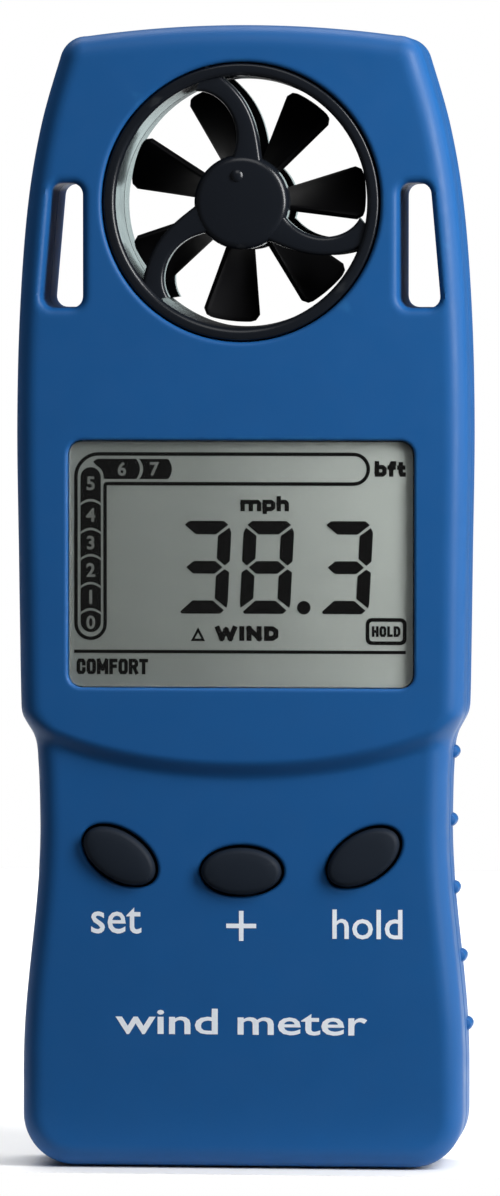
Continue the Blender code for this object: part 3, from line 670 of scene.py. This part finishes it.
# Middle lines of the strokes of the display's letters, in a box one wide and one high.
BOWL = [(0, 0.5), (0.2, 0.66), (0.75, 0.66), (1, 0.5), (1, 0.16), (0.75, 0), (0.2, 0), (0, 0.16)]
STROKES = {
    "C": [[(1, 0.72), (1, 0.86), (0.8, 1), (0.2, 1), (0, 0.86), (0, 0.14), (0.2, 0), (0.8, 0),
           (1, 0.14), (1, 0.28)]],
    "O": [[(0.5, 1), (0.2, 1), (0, 0.84), (0, 0.16), (0.2, 0), (0.5, 0)],
          [(0.5, 1), (0.8, 1), (1, 0.84), (1, 0.16), (0.8, 0), (0.5, 0)]],
    "M": [[(0, 0), (0, 1)], [(0, 1), (0.5, 0.3)], [(0.5, 0.3), (1, 1)], [(1, 1), (1, 0)]],
    "F": [[(1, 1), (0, 1), (0, 0)], [(0, 0.52), (0.85, 0.52)]],
    "R": [[(0, 0), (0, 1)], [(0, 1), (0.75, 1), (1, 0.86), (1, 0.64), (0.75, 0.48), (0, 0.48)],
          [(0.55, 0.48), (1, 0)]],
    "T": [[(0, 1), (1, 1)], [(0.5, 1), (0.5, 0)]],
    "W": [[(0, 1), (0.24, 0)], [(0.24, 0), (0.5, 0.85)], [(0.5, 0.85), (0.76, 0)],
          [(0.76, 0), (1, 1)]],
    "I": [[(0, 0), (0, 1)]],
    "N": [[(0, 0), (0, 1)], [(0, 1), (1, 0)], [(1, 0), (1, 1)]],
    "D": [[(0, 0), (0, 1)], [(0, 1), (0.62, 1), (1, 0.76), (1, 0.24), (0.62, 0), (0, 0)]],
    "H": [[(0, 0), (0, 1)], [(1, 0), (1, 1)], [(0, 0.5), (1, 0.5)]],
    "L": [[(0, 1), (0, 0), (1, 0)]],
    "b": [[(0, 0), (0, 1)], BOWL],
    "f": [[(0.35, 0), (0.35, 0.84), (0.55, 1), (1, 1)], [(0, 0.62), (0.9, 0.62)]],
    "t": [[(0.35, 0.92), (0.35, 0.16), (0.55, 0), (1, 0)], [(0, 0.62), (0.9, 0.62)]],
    "m": [[(0, 0), (0, 0.66)], [(0, 0.5), (0.12, 0.66), (0.4, 0.66), (0.5, 0.5), (0.5, 0)],
          [(0.5, 0.5), (0.62, 0.66), (0.9, 0.66), (1, 0.5), (1, 0)]],
    "p": [[(0, -0.26), (0, 0.66)], BOWL],
    "h": [[(0, 0), (0, 1)], [(0, 0.5), (0.2, 0.66), (0.8, 0.66), (1, 0.5), (1, 0)]],
}


def flat_shapes(name, loops, low, high):
    """Closed outlines as one flat solid; where they overlap they join."""
    points, faces = [], []
    for loop in loops:
        loop = np.array(loop)
        ahead = np.roll(loop, -1, 0)
        if (loop[:, 0] * ahead[:, 1] - loop[:, 1] * ahead[:, 0]).sum() < 0:
            loop = loop[::-1]
        faces.append(list(range(len(points), len(points) + len(loop))))
        points += [Vector(point) for point in loop]
    spots, _, triangles, _, _, face_from = delaunay_2d_cdt(points, [], faces, 1, 1e-4)
    triangles = [face for face, owners in zip(triangles, face_from) if owners]
    sides = {(a, b) for face in triangles for a, b in zip(face, face[1:] + face[:1])}
    count = len(spots)
    solid = [(x, y, depth) for depth in (low, high) for x, y in spots]
    shape = [tuple(reversed(face)) for face in triangles]
    shape += [tuple(i + count for i in face) for face in triangles]
    shape += [(a, b, b + count, a + count) for a, b in sorted(sides) if (b, a) not in sides]
    return make_object(name, solid, shape)


def band(outer, inner):
    """The strip between two closed outlines of equally many points."""
    count = len(outer)
    return [[outer[i], outer[(i + 1) % count], inner[(i + 1) % count], inner[i]]
            for i in range(count)]


def curve_solid(name, curve, low, high, box=None, centred=False):
    """A filled curve as a flat solid; box is the (left, foot, right, top) it is fitted to.

    A centred one is only as wide as its own proportions make it, in the middle of the box.
    """
    curve.extrude = 0.5
    guide = add_object(name, curve)
    evaluated = guide.evaluated_get(bpy.context.evaluated_depsgraph_get())
    mesh = bpy.data.meshes.new_from_object(evaluated)
    bpy.data.objects.remove(guide)
    points = np.array([tuple(vert.co) for vert in mesh.vertices])
    if box:
        least, most = points[:, :2].min(0), points[:, :2].max(0)
        middle = np.array([box[0] + box[2], box[1] + box[3]]) / 2
        scale = np.array([box[2] - box[0], box[3] - box[1]]) / (most - least)
        if centred:
            scale[0] = scale[1]
        points[:, :2] = middle + (points[:, :2] - (least + most) / 2) * scale
    points[:, 2] = low + (points[:, 2] + 0.5) * (high - low)
    faces = [tuple(face.vertices) for face in mesh.polygons]
    obj = make_object(name, [tuple(point) for point in points], faces)
    shape = bmesh.new()
    shape.from_mesh(obj.data)
    bmesh.ops.dissolve_degenerate(shape, dist=1e-4 * MM, edges=shape.edges)
    shape.to_mesh(obj.data)
    shape.free()
    return obj


def lettering(name, text, box, low, high, weight=0.0, centred=False):
    """A word in the plain built-in font, fitted to its box."""
    curve = bpy.data.curves.new(name, "FONT")
    curve.body = text
    curve.offset = weight
    curve.resolution_u = 3
    return curve_solid(name, curve, low, high, box, centred)


def merge(name, objects):
    """One object from several that stay separate bodies."""
    shape = bmesh.new()
    for obj in objects:
        shape.from_mesh(obj.data)
        bpy.data.objects.remove(obj)
    mesh = bpy.data.meshes.new(name)
    shape.to_mesh(mesh)
    shape.free()
    return add_object(name, mesh)


def shifted(loop, across, up):
    return [(x + across, y + up) for x, y in loop]


def digit_loops(digit, left):
    """The lit bars of one seven-bar digit, leaning a little, its foot's left corner at left."""
    w, h = DIGIT_WIDTH, DIGIT_HEIGHT
    top = [(0.42, h - 0.48), (1.0, h), (w - 1.0, h), (w - 0.42, h - 0.48), (w - 1.86, h - 1.64),
           (1.86, h - 1.64)]
    middle = [(0.86, h / 2), (1.78, h / 2 + 0.78), (w - 1.78, h / 2 + 0.78), (w - 0.86, h / 2),
              (w - 1.78, h / 2 - 0.78), (1.78, h / 2 - 0.78)]
    upper = [(w - 0.28, h - 0.82), (w, h - 1.4), (w, h / 2 + 0.75), (w - 0.6, h / 2 + 0.22),
             (w - 1.62, h / 2 + 1.05), (w - 1.62, h - 1.82)]
    foot = [(0.42, 0.26), (0.62, 0), (w - 0.9, 0), (w - 0.42, 0.42), (w - 1.86, 1.62),
            (1.86, 1.62)]
    lower = [(w - 0.12, 0.72), (w, 1.3), (w, h / 2 - 0.6), (w - 0.6, h / 2 - 0.22),
             (w - 1.62, h / 2 - 1.05), (w - 1.62, 1.86)]
    bars = {"a": top, "b": upper, "c": lower, "d": foot, "g": middle,
            "e": [(w - x, y) for x, y in lower], "f": [(w - x, y) for x, y in upper]}
    return [[(left + x + y * DIGIT_LEAN, DIGIT_FOOT + y) for x, y in bars[bar]]
            for bar in LIT[digit]]


def stroke(line, width):
    """The outline of a line of even width with square ends."""
    line = np.array(line, float)
    run = np.diff(line, axis=0)
    run /= np.hypot(*run.T)[:, None]
    line[0] -= run[0] * width / 2
    line[-1] += run[-1] * width / 2
    before, after = np.vstack([run[:1], run]), np.vstack([run, run[-1:]])
    sideways = np.stack([-(before + after)[:, 1], (before + after)[:, 0]], 1)
    sideways *= (width / np.maximum((sideways ** 2).sum(1), 1.6))[:, None]
    return [tuple(p) for p in line + sideways] + [tuple(p) for p in (line - sideways)[::-1]]


def block_letters(name, text, box, widths, gap, weight, low, high):
    """A bold word on the display; widths are the letters' outer widths, all in millimetres."""
    left, foot, right, top = box
    share = (right - left - gap * (len(text) - 1)) / sum(widths)
    strokes = []
    for letter, width in zip(text, widths):
        wide = max(width * share - weight, 0.0)
        for line in STROKES[letter]:
            placed = [(left + weight / 2 + x * wide, foot + weight / 2 + y * (top - foot - weight))
                      for x, y in line]
            strokes.append(stroke(placed, weight))
        left += width * share + gap
    return flat_shapes(name, strokes, low, high)


def scale_outline(grow):
    """The bent tube round the wind force scale, from its middle line outwards by grow."""
    left, right, foot, top = -20.25, -16.7, -9.1, 13.45
    low = 9.85
    radius = (right - left) / 2
    points = arc(((left + right) / 2, foot + radius), radius + grow, 180, 360, 16)
    points += arc((right + 0.3, low - 0.3), 0.3 - grow, 180, 90, 4)
    end = (top - low) / 2
    points += arc((15.6 - end, low + end), end + grow, -90, 90, 16)
    points += arc((left + 2.8, top - 2.8), 2.8 + grow, 90, 180, 12)
    return points


def scale_blocks():
    """The lit blocks of the wind force scale: six stacked in the column and two in the row."""
    left, right = -19.7, -17.2
    middle, half = (left + right) / 2, (right - left) / 2
    bulge, gap = 0.5, 0.3
    tops = [-5.56, -2.35, 1.07, 4.28, 7.8]
    blocks = [arc((middle, -8.36 + half), half, 180, 360, 16)
              + cap(left, right, tops[0] - gap / 2, bulge)]
    for low, high in zip(tops, tops[1:]):
        blocks.append(cap(left, right, low + gap / 2, bulge)[::-1]
                      + cap(left, right, high - gap / 2, bulge))
    blocks.append(cap(left, right, tops[-1] + gap / 2, bulge)[::-1]
                  + arc((middle, 11.85 - half), half, 0, 180, 12))
    row_low, row_high = 10.39, 12.87
    six = ([(-16.2, row_low), (-12.86, row_low)]
           + arc((-14.1, 11.63), 1.72, -44, 44, 8)[1:-1]
           + [(-12.86, row_high), (-17.6, row_high), (-18.15, 12.5)]
           + arc((middle, 11.85 - half), half + 0.35, 62, -6, 8))
    seven = ([(-12.5, row_low), (-8.95, row_low)] + arc((-10.2, 11.63), 1.75, -44, 44, 8)[1:-1]
             + [(-8.95, row_high), (-12.5, row_high)]
             + arc((-13.75, 11.63), 1.75, 44, -44, 8)[1:-1])
    return blocks + [six, seven]


def cap(left, right, top, bulge, steps=10):
    """An arched edge from right to left, its crown at top."""
    return [(right + (left - right) * i / steps,
             top - bulge * (2 * i / steps - 1) ** 2) for i in range(steps + 1)]


def make_display(ink, scale_ink, glass_face, clear):
    middle = WINDOW[:2]
    low, high = PANEL_FRONT + 0.01, PANEL_FRONT + INK

    def fitted(left, foot, right, top):
        return (middle[0] + left, middle[1] + foot, middle[0] + right, middle[1] + top)

    loops = band(scale_outline(0.23), scale_outline(-0.2)) + scale_blocks()
    for digit, left in (("3", -7.89), ("8", -0.19), ("3", 9.47)):
        loops += digit_loops(digit, left)
    loops.append(ellipse(1.66, 1.66, 24, (7.72, -5.27)))
    loops += band([(-6.15, -9.4), (-4.4, -9.4), (-5.25, -7.7)],
                  [(-5.68, -9.1), (-4.84, -9.1), (-5.25, -8.35)])
    loops += band(rounded_box(5.0, 3.3, 0.75, (17.8, -8.15)),
                  rounded_box(4.1, 2.4, 0.4, (17.8, -8.15)))
    loops.append([(-20.5, -10.9), (20.2, -10.9), (20.2, -10.5), (-20.5, -10.5)])
    loops = [shifted(loop, *middle) for loop in loops]
    words = [("bft", (16.4, 10.75, 20.2, 12.65), (1.5, 1.1, 1.1), 0.1, 0.54),
             ("mph", (-0.05, 6.5, 5.9, 8.35), (2.6, 1.6, 1.55), 0.15, 0.54),
             ("WIND", (-3.15, -9.35, 4.6, -7.55), (2.65, 0.58, 1.85, 1.75), 0.3, 0.62),
             ("HOLD", (16.05, -8.8, 19.55, -7.5), (0.8, 0.8, 0.65, 0.8), 0.12, 0.32),
             ("COMFORT", (-20.2, -13.5, -11.4, -11.6), (1.1, 1.15, 1.4, 1.0, 1.15, 1.15, 1.1),
              0.12, 0.44)]
    parts = [flat_shapes("lcd_marks", loops, low, high)]
    parts += [block_letters("lcd_word", text, fitted(*box), widths, gap, weight, low, high)
              for text, box, widths, gap, weight in words]
    piece(merge("lcd_segments", parts), "case", ink)

    places = [(-18.45, up) for up in (-7.15, -4.05, -0.75, 2.6, 6.0, 9.85)]
    places += [(-14.6, 11.63), (-10.6, 11.63)]
    parts = [lettering("scale_number", str(i), fitted(x - 0.6, up - 0.85, x + 0.6, up + 0.85),
                       high, high + 0.02, 0.025, True) for i, (x, up) in enumerate(places)]
    piece(merge("lcd_scale_numbers", parts), "case", scale_ink)

    gap = 0.3
    panel = prism("lcd_face", rounded_box(WINDOW_WIDTH - gap, WINDOW_HEIGHT - gap, 1.55, middle),
                  node_box("lcd_panel")[0][2], PANEL_FRONT, 0.12, 2)
    piece(panel, "case", glass_face, ["lcd_panel"])
    pane = prism("window_pane", rounded_box(WINDOW_WIDTH - gap, WINDOW_HEIGHT - gap, 1.55, middle),
                 WINDOW_FRONT - PANE, WINDOW_FRONT, 0.12, 3)
    piece(pane, "case", clear, ["display_window"])
    pane.visible_shadow = False


# ---------------------------------------------------------------- keys and labels

def make_key(name, material):
    """A low oval key: straight side, rounded rim and a faintly domed top, on its flange."""
    low, high = node_box(name + "_button")[0][2], KEY_FRONT
    rim, dome, crown = 0.8, 0.12, 1.9

    def oval(width, height, depth):
        return [(x, up, depth) for x, up in
                ellipse(width, height, 96, node_middle(name + "_button")[:2], KEY_TURNS[name])]

    def level(grow, depth):
        return oval(KEY_WIDTH + grow, KEY_HEIGHT + grow, depth)

    stem, flange, draft = -4.6, 2.2, -0.1
    loops = [level(stem, low), level(stem, 4.9), level(flange, 4.9), level(flange, 5.6),
             level(0, 5.7), level(draft, high - rim - dome)]
    for angle in np.radians(np.linspace(0, 78, 8)):
        loops.append(level(draft - 2 * rim * (1 - math.cos(angle)),
                           high - dome - rim * (1 - math.sin(angle))))
    for share in (0.72, 0.5, 0.25):
        loops.append(oval((KEY_WIDTH - crown) * share, (KEY_HEIGHT - crown) * share,
                          high - dome * share ** 2))
    key = make_object(name + "_key", *rings(loops, True, True))
    piece(key, name + "_key", material, [name + "_button"], 50)


def make_labels(white):
    """Plain words under the keys, and generic ones on the foot."""
    low, high = GRIP_FRONT - 0.05, GRIP_FRONT + 0.03
    plus = [(-0.28, 1.85), (-0.28, 0.28), (-1.85, 0.28), (-1.85, -0.28), (-0.28, -0.28),
            (-0.28, -1.85), (0.28, -1.85), (0.28, -0.28), (1.85, -0.28), (1.85, 0.28),
            (0.28, 0.28), (0.28, 1.85)]
    parts = [lettering("set_word", "set", (-18.5, 28.75, -12.3, 32.0), low, high, 0.008),
             lettering("hold_word", "hold", (11.2, 28.25, 19.8, 31.9), low, high, 0.008),
             flat_shapes("plus_sign", [shifted(plus, 0.0, 29.8)], low, high)]
    parts.append(lettering("foot_words", "wind meter", (-15.5, 16.4, 15.5, 19.6), low, high, 0.012))
    piece(merge("face_labels", parts), "case", white)


# ---------------------------------------------------------------- battery door and screws

def groove(name, outline, face, depth, edge=0.12):
    """A cutter for a shallow engraving in a back face, its rim eased."""
    outline = np.array(outline)
    levels = [(face - 0.4, -edge), (face, -edge), (face + edge, 0.0), (face + depth, 0.0)]
    loops = [[(x, y, at) for x, y in inset(outline, back)] for at, back in levels]
    return make_object(name, *rings(loops, True, True))


def make_battery_door(material):
    """A round cap with a coin slot, a pointer, a neck for its seal and two locking lugs."""
    face, under, neck = CASE_BACK, CASE_BACK + 1.0, -5.0
    profile = [(0, face), (11.9, face)] + arc((12.35, face + 0.45), 0.45, -90, 0)
    profile += [(12.8, under - 0.1), (12.7, under), (11.4, under), (11.4, neck - 0.1),
                (11.3, neck), (10.5, neck), (10.4, neck - 0.1), (10.4, under), (0, under)]
    door = turned("battery_door_cap", profile, DOOR[:2], 144)
    pointer = [(DOOR[0] - 1.1, DOOR[1] + 9.0), (DOOR[0] + 1.1, DOOR[1] + 9.0),
               (DOOR[0], DOOR[1] + 10.9)]
    cutters = [groove("coin_slot", rounded_box(14.0, 1.8, 0.85, DOOR[:2]), face, 0.6),
               groove("pointer", pointer, face, 0.3, 0.06)]
    combine(door, cutters, "DIFFERENCE")
    lugs = [prism("lug", rounded_box(1.6, 4.4, 0.3, (DOOR[0] + side * 11.6, DOOR[1]), 3),
                  -5.6, -5.1) for side in (-1, 1)]
    combine(door, lugs, "UNION")
    piece(door, "battery_door", material, ["battery_door"], 32)


def make_case_screws(material):
    """Pan heads with a cross recess, sunk in the back."""
    head, under, radius = -8.1, -6.7, 2.1
    profile = [(0, head), (0.9, head + 0.02)]
    profile += [(radius * math.sin(a), head + 0.55 * (1 - math.cos(a)) + 0.1)
                for a in np.radians(np.linspace(35, 84, 6))]
    profile += [(radius, under - 0.35), (radius - 0.1, under), (1.0, under), (1.0, 4.9), (0.9, 5.0),
                (0, 5.0)]
    for name in CASE_SCREWS:
        x, up = node_middle("case_screw_" + name)[:2]
        screw = turned(f"screw_{name}", profile, (x, up), 48)
        blades = []
        for turn in (25, 115):
            lean = math.radians(turn)
            loops = []
            for at, half, thick in ((head - 0.5, 1.35, 0.3), (head, 1.3, 0.28),
                                    (head + 1.1, 0.35, 0.2)):
                loop = [(half, thick), (-half, thick), (-half, -thick), (half, -thick)]
                loops.append([(x + px * math.cos(lean) - py * math.sin(lean),
                               up + px * math.sin(lean) + py * math.cos(lean), at)
                              for px, py in loop])
            blades.append(make_object("cross", *rings(loops, True, True)))
        combine(blades[0], blades[1:], "UNION")
        combine(screw, blades[:1], "DIFFERENCE")
        piece(screw, "case", material, ["case_screw_" + name], 32)


# ---------------------------------------------------------------- materials

def add_node(tree, kind, **inputs):
    """A shader node with inputs set to values or linked; _ in an input's name is a space."""
    node = tree.nodes.new("ShaderNode" + kind)
    for name, value in inputs.items():
        socket = node.inputs[name.replace("_", " ")]
        if isinstance(value, bpy.types.NodeSocket):
            tree.links.new(value, socket)
        else:
            socket.default_value = value
    return node


def object_place(tree):
    return add_node(tree, "TexCoord").outputs["Object"]


def noise(tree, size, detail=2.0):
    """Noise fixed to the object, its features about size millimetres across."""
    return add_node(tree, "TexNoise", Vector=object_place(tree), Scale=1 / (size * MM),
                    Detail=detail).outputs["Fac"]


def ranged(tree, value, low, high, from_low=0.3, from_high=0.7):
    return add_node(tree, "MapRange", Value=value, From_Min=from_low, From_Max=from_high,
                    To_Min=low, To_Max=high).outputs["Result"]


def product(tree, first, second):
    node = tree.nodes.new("ShaderNodeMath")
    node.operation = "MULTIPLY"
    tree.links.new(first, node.inputs[0])
    tree.links.new(second, node.inputs[1])
    return node.outputs[0]


def blended(tree, amount, first, second):
    """A colour between first and second, which are colours or colour outputs."""
    node = tree.nodes.new("ShaderNodeMix")
    node.data_type = "RGBA"
    tree.links.new(amount, node.inputs["Factor"])
    for colour, socket in ((first, node.inputs["A"]), (second, node.inputs["B"])):
        if isinstance(colour, tuple):
            socket.default_value = (*colour, 1.0)
        else:
            tree.links.new(colour, socket)
    return node.outputs["Result"]


def scaled(colour, factor):
    return tuple(min(1.0, channel * factor) for channel in colour)


def finish(name, colour, roughness, metallic=0.0, drift=0.06, patchy=0.05, grain=0.25,
           grain_depth=0.004, wear=0.0, worn=None, coat=0.0, brushed=None, speckle=0.0,
           specular=0.5):
    """A solid surface: drifting colour, patchy roughness, fine grain and rubbed edges.

    grain is the size of the grain and grain_depth its height, in millimetres. brushed stretches
    it along one axis, and speckle adds small flecks of the worn colour.
    """
    material = bpy.data.materials.new(name)
    material.use_nodes = True
    tree = material.node_tree
    shader = tree.nodes["Principled BSDF"]
    shader.inputs["Metallic"].default_value = metallic
    shader.inputs["Specular IOR Level"].default_value = specular
    shader.inputs["Coat Weight"].default_value = coat
    shader.inputs["Coat Roughness"].default_value = 0.12
    worn = worn or scaled(colour, 1.8)
    tone = blended(tree, noise(tree, 7.0, 3.0), scaled(colour, 1 - drift),
                   scaled(colour, 1 + drift))
    if speckle:
        flecks = ranged(tree, noise(tree, 0.5, 1.0), 0.0, speckle, 0.62, 0.72)
        tone = blended(tree, flecks, tone, worn)
    rough = ranged(tree, noise(tree, 3.0, 4.0), roughness - patchy, roughness + patchy)
    if wear:
        edges = tree.nodes.new("ShaderNodeNewGeometry").outputs["Pointiness"]
        rubbed = ranged(tree, edges, 0.0, wear, 0.53, 0.62)
        rubbed = product(tree, rubbed, ranged(tree, noise(tree, 1.8, 3.0), 0.0, 1.0))
        tone = blended(tree, rubbed, tone, worn)
    tree.links.new(tone, shader.inputs["Base Color"])
    tree.links.new(rough, shader.inputs["Roughness"])
    scale = [(0.04 if axis == brushed else 1.0) / (grain * MM) for axis in range(3)]
    stretch = add_node(tree, "Mapping", Vector=object_place(tree), Scale=scale)
    grains = add_node(tree, "TexNoise", Vector=stretch.outputs["Vector"], Scale=1.0, Detail=2.0)
    bump = add_node(tree, "Bump", Distance=grain_depth * MM, Height=grains.outputs["Fac"])
    tree.links.new(bump.outputs["Normal"], shader.inputs["Normal"])
    return material


def clear_plastic(name):
    """The display window: clear and polished, with the faintest ripple and slightly patchy gloss.
    """
    material = finish(name, (0.96, 0.98, 0.98), 0.04, drift=0.01, patchy=0.02, grain=6.0,
                      grain_depth=0.003)
    shader = material.node_tree.nodes["Principled BSDF"]
    shader.inputs["Transmission Weight"].default_value = 1.0
    shader.inputs["IOR"].default_value = 1.49
    shader.inputs["Specular IOR Level"].default_value = 0.3
    return material


def display_glass(name, painted_shade_colour, lit):
    """The display's satin polariser, painted shaded at the left and lit at the right."""
    material = finish(name, lit, 0.32, patchy=0.04, grain=0.12, grain_depth=0.003, specular=0.3)
    tree = material.node_tree
    split = add_node(tree, "SeparateXYZ", Vector=object_place(tree))
    # Painted light: the base colour ramps from the painted shade at the left to the painted light
    # at the right.
    across = ranged(tree, split.outputs["X"], 0.0, 1.0, -6 * MM, 25 * MM)
    cloud = noise(tree, 7.0, 3.0)
    tone = blended(tree, across, blended(tree, cloud, scaled(painted_shade_colour, 0.97), scaled(painted_shade_colour, 1.03)),
                   blended(tree, cloud, scaled(lit, 0.97), scaled(lit, 1.03)))
    tree.links.new(tone, tree.nodes["Principled BSDF"].inputs["Base Color"])
    return material


# ---------------------------------------------------------------- putting it together

case_blue = finish("case_blue", (0.010, 0.088, 0.272), 0.45, drift=0.05, grain=0.22,
                   grain_depth=0.006, wear=0.5, worn=(0.024, 0.15, 0.37), specular=0.22)
fan_black = finish("fan_black", (0.007, 0.009, 0.013), 0.25, patchy=0.02, grain=0.5,
                   grain_depth=0.002, wear=0.4, worn=(0.05, 0.055, 0.06), specular=0.35)
impeller_black = finish("impeller_black", (0.004, 0.004, 0.005), 0.5, grain=0.3,
                        grain_depth=0.004, wear=0.3, worn=(0.02, 0.02, 0.022), specular=0.12)
key_rubber = finish("key_rubber", (0.010, 0.015, 0.024), 0.6, grain=0.15, grain_depth=0.006,
                    wear=0.3, worn=(0.03, 0.036, 0.045), specular=0.15)
label_white = finish("label_white", (0.84, 0.89, 0.96), 0.5, grain=0.1, grain_depth=0.002,
                     speckle=0.1, worn=(0.5, 0.55, 0.62))
lcd_ink = finish("lcd_ink", (0.001, 0.001, 0.001), 0.55, grain=0.2, grain_depth=0.001, drift=0.1,
                 specular=0.0)
lcd_scale_grey = finish("lcd_scale_grey", (0.095, 0.10, 0.094), 0.5, grain=0.2,
                        grain_depth=0.001, specular=0.0)
# The display face's colour holds a painted gradient of light: darker at the left, lighter at the
# right.
lcd_glass = display_glass("lcd_glass", (0.150, 0.162, 0.150), (0.26, 0.275, 0.258))
window_clear = clear_plastic("window_clear")
steel = finish("steel", (0.56, 0.56, 0.55), 0.26, 1.0, grain=0.3, grain_depth=0.003, brushed=0,
               wear=0.4, worn=(0.8, 0.8, 0.78))

make_front_shell(case_blue)
make_rear_shell(case_blue)
make_grip_ribs(case_blue)
fan_housings = [make_fan_housing("fan_housing_front", 1, fan_black),
                make_fan_housing("fan_housing_rear", -1, fan_black)]
make_impeller(impeller_black)
make_display(lcd_ink, lcd_scale_grey, lcd_glass, window_clear)
for key in KEY_TURNS:
    make_key(key, key_rubber)
make_labels(label_white)
make_battery_door(case_blue)
make_case_screws(steel)

INNER_FINISHES = {
    "nickel": dict(colour=(0.66, 0.62, 0.54), roughness=0.24, metallic=1.0, grain=0.4,
                   grain_depth=0.002, brushed=2, wear=0.3, worn=(0.8, 0.78, 0.7)),
    "jewel": dict(colour=(0.42, 0.02, 0.05), roughness=0.12, grain=0.4, grain_depth=0.001,
                  coat=0.6),
    "magnet": dict(colour=(0.13, 0.13, 0.14), roughness=0.55, metallic=0.6, grain=0.12,
                   grain_depth=0.008, speckle=0.3, wear=0.4),
    "frame_white": dict(colour=(0.68, 0.68, 0.65), roughness=0.5, wear=0.3, worn=(0.8, 0.8, 0.78)),
    "reflector": dict(colour=(0.68, 0.69, 0.66), roughness=0.42, metallic=0.6, grain=0.1,
                      grain_depth=0.003, brushed=0),
    "elastomer": dict(colour=(0.70, 0.42, 0.42), roughness=0.6, grain=0.18, brushed=2,
                      grain_depth=0.01),
    "board_green": dict(colour=(0.012, 0.11, 0.045), roughness=0.3, grain=0.5, grain_depth=0.008,
                        speckle=0.25, worn=(0.05, 0.2, 0.08), coat=0.3),
    "epoxy_black": dict(colour=(0.009, 0.009, 0.011), roughness=0.22, grain=2.5, grain_depth=0.03),
    "crystal_can": dict(colour=(0.62, 0.63, 0.64), roughness=0.2, metallic=1.0, brushed=0,
                        wear=0.3),
    "capacitor_sleeve": dict(colour=(0.012, 0.02, 0.09), roughness=0.34, wear=0.4),
    "sensor_black": dict(colour=(0.013, 0.013, 0.013), roughness=0.38, grain=0.15,
                         grain_depth=0.01),
    "mat_rubber": dict(colour=(0.09, 0.09, 0.10), roughness=0.66, grain=0.15, grain_depth=0.01,
                       wear=0.3),
    "carbon_pill": dict(colour=(0.008, 0.008, 0.008), roughness=0.7, grain=0.1, grain_depth=0.01),
    "seal_rubber": dict(colour=(0.009, 0.009, 0.010), roughness=0.58, grain=0.12,
                        grain_depth=0.006),
}
INNER = {name: finish(name, **settings) for name, settings in INNER_FINISHES.items()}
INNER["steel"] = steel
for part in frame["record"]["subparts"]:
    if part["material_slot"] in INNER:
        node = bpy.data.objects[part["node"]]
        for slot in node.material_slots:
            slot.material = INNER[part["material_slot"]]


# ---------------------------------------------------------------- studio

def look_at(obj, aim, azimuth, elevation, distance):
    """Put a light or camera at a distance from aim, turned towards it."""
    a, e = math.radians(azimuth), math.radians(elevation)
    away = Vector((math.sin(a) * math.cos(e), -math.cos(a) * math.cos(e), math.sin(e)))
    obj.location = Vector(aim) + away * distance
    obj.rotation_euler = away.to_track_quat("Z", "Y").to_euler()


def area_light(name, azimuth, elevation, distance, size, power, colour=(1.0, 1.0, 1.0)):
    """A soft box aimed at the middle of the object; sizes and distances in metres."""
    light = bpy.data.lights.new(name, "AREA")
    light.shape = "RECTANGLE"
    light.size, light.size_y = size
    light.energy = power
    light.color = colour
    obj = add_object(name, light)
    look_at(obj, (0.0, 0.0, CASE_HEIGHT / 2 * MM), azimuth, elevation, distance)
    obj.visible_camera = False
    return obj


def make_camera(azimuth, elevation, distance, aim, lens):
    camera = bpy.data.cameras.new("camera")
    camera.sensor_fit = "VERTICAL"
    camera.sensor_height = 36
    camera.lens = lens
    camera.clip_end = 50
    obj = add_object("camera", camera)
    look_at(obj, aim, azimuth, elevation, distance)
    bpy.context.scene.camera = obj


def make_floor():
    """A pale table that the meter stands on; its sizes are in metres."""
    width, reach, corner, front, below = 0.9, 0.5, 0.1, -0.013, 0.0002
    mesh = bpy.data.meshes.new("floor")
    outline = rounded_box(width, reach, corner, (0.0, front + reach / 2), 12)
    points = [(x, y, -below) for x, y in outline]
    mesh.from_pydata(points, [], [tuple(range(len(points)))])
    obj = add_object("floor", mesh)
    mesh.materials.append(finish("paper", (0.9, 0.9, 0.9), 0.8, drift=0.004, grain=1.5,
                                 grain_depth=0.01, specular=0.1))


def make_world(seen, ambient):
    """A pale world behind the object that lights it only a little."""
    world = bpy.data.worlds.new("studio")
    world.use_nodes = True
    tree = world.node_tree
    tree.nodes["Background"].inputs["Color"].default_value = (1.0, 1.0, 1.0, 1.0)
    straight = add_node(tree, "LightPath").outputs["Is Camera Ray"]
    tree.links.new(ranged(tree, straight, ambient, seen, 0.0, 1.0),
                   tree.nodes["Background"].inputs["Strength"])
    bpy.context.scene.world = world
    bpy.context.scene.view_settings.view_transform = "Standard"


make_floor()
area_light("key", 60, 24, 0.3, (0.1, 0.26), 1.45)
area_light("side", 98, 8, 0.9, (0.3, 0.8), 1.6)
area_light("fill", 5, 50, 1.4, (0.8, 0.8), 4.6)
backdrop = area_light("backdrop", 172, 3, 0.6, (0.16, 0.3), 0.22, (0.82, 1.0, 1.0))
backdrop.light_linking.receiver_collection = bpy.data.collections.new("fan_housings")
for housing in fan_housings:
    backdrop.light_linking.receiver_collection.objects.link(housing)
table = area_light("table", 180, 60, 0.9, (1.6, 0.7), 7.0)
table.location = (0.0, 0.45, 0.75)
table.rotation_euler = (0.0, 0.0, 0.0)
table.data.spread = math.radians(100)
make_world(1.0, 0.085)
make_camera(5.1, 2.4, 1.05, (0.0004, 0.0, 0.0697), 256.5)
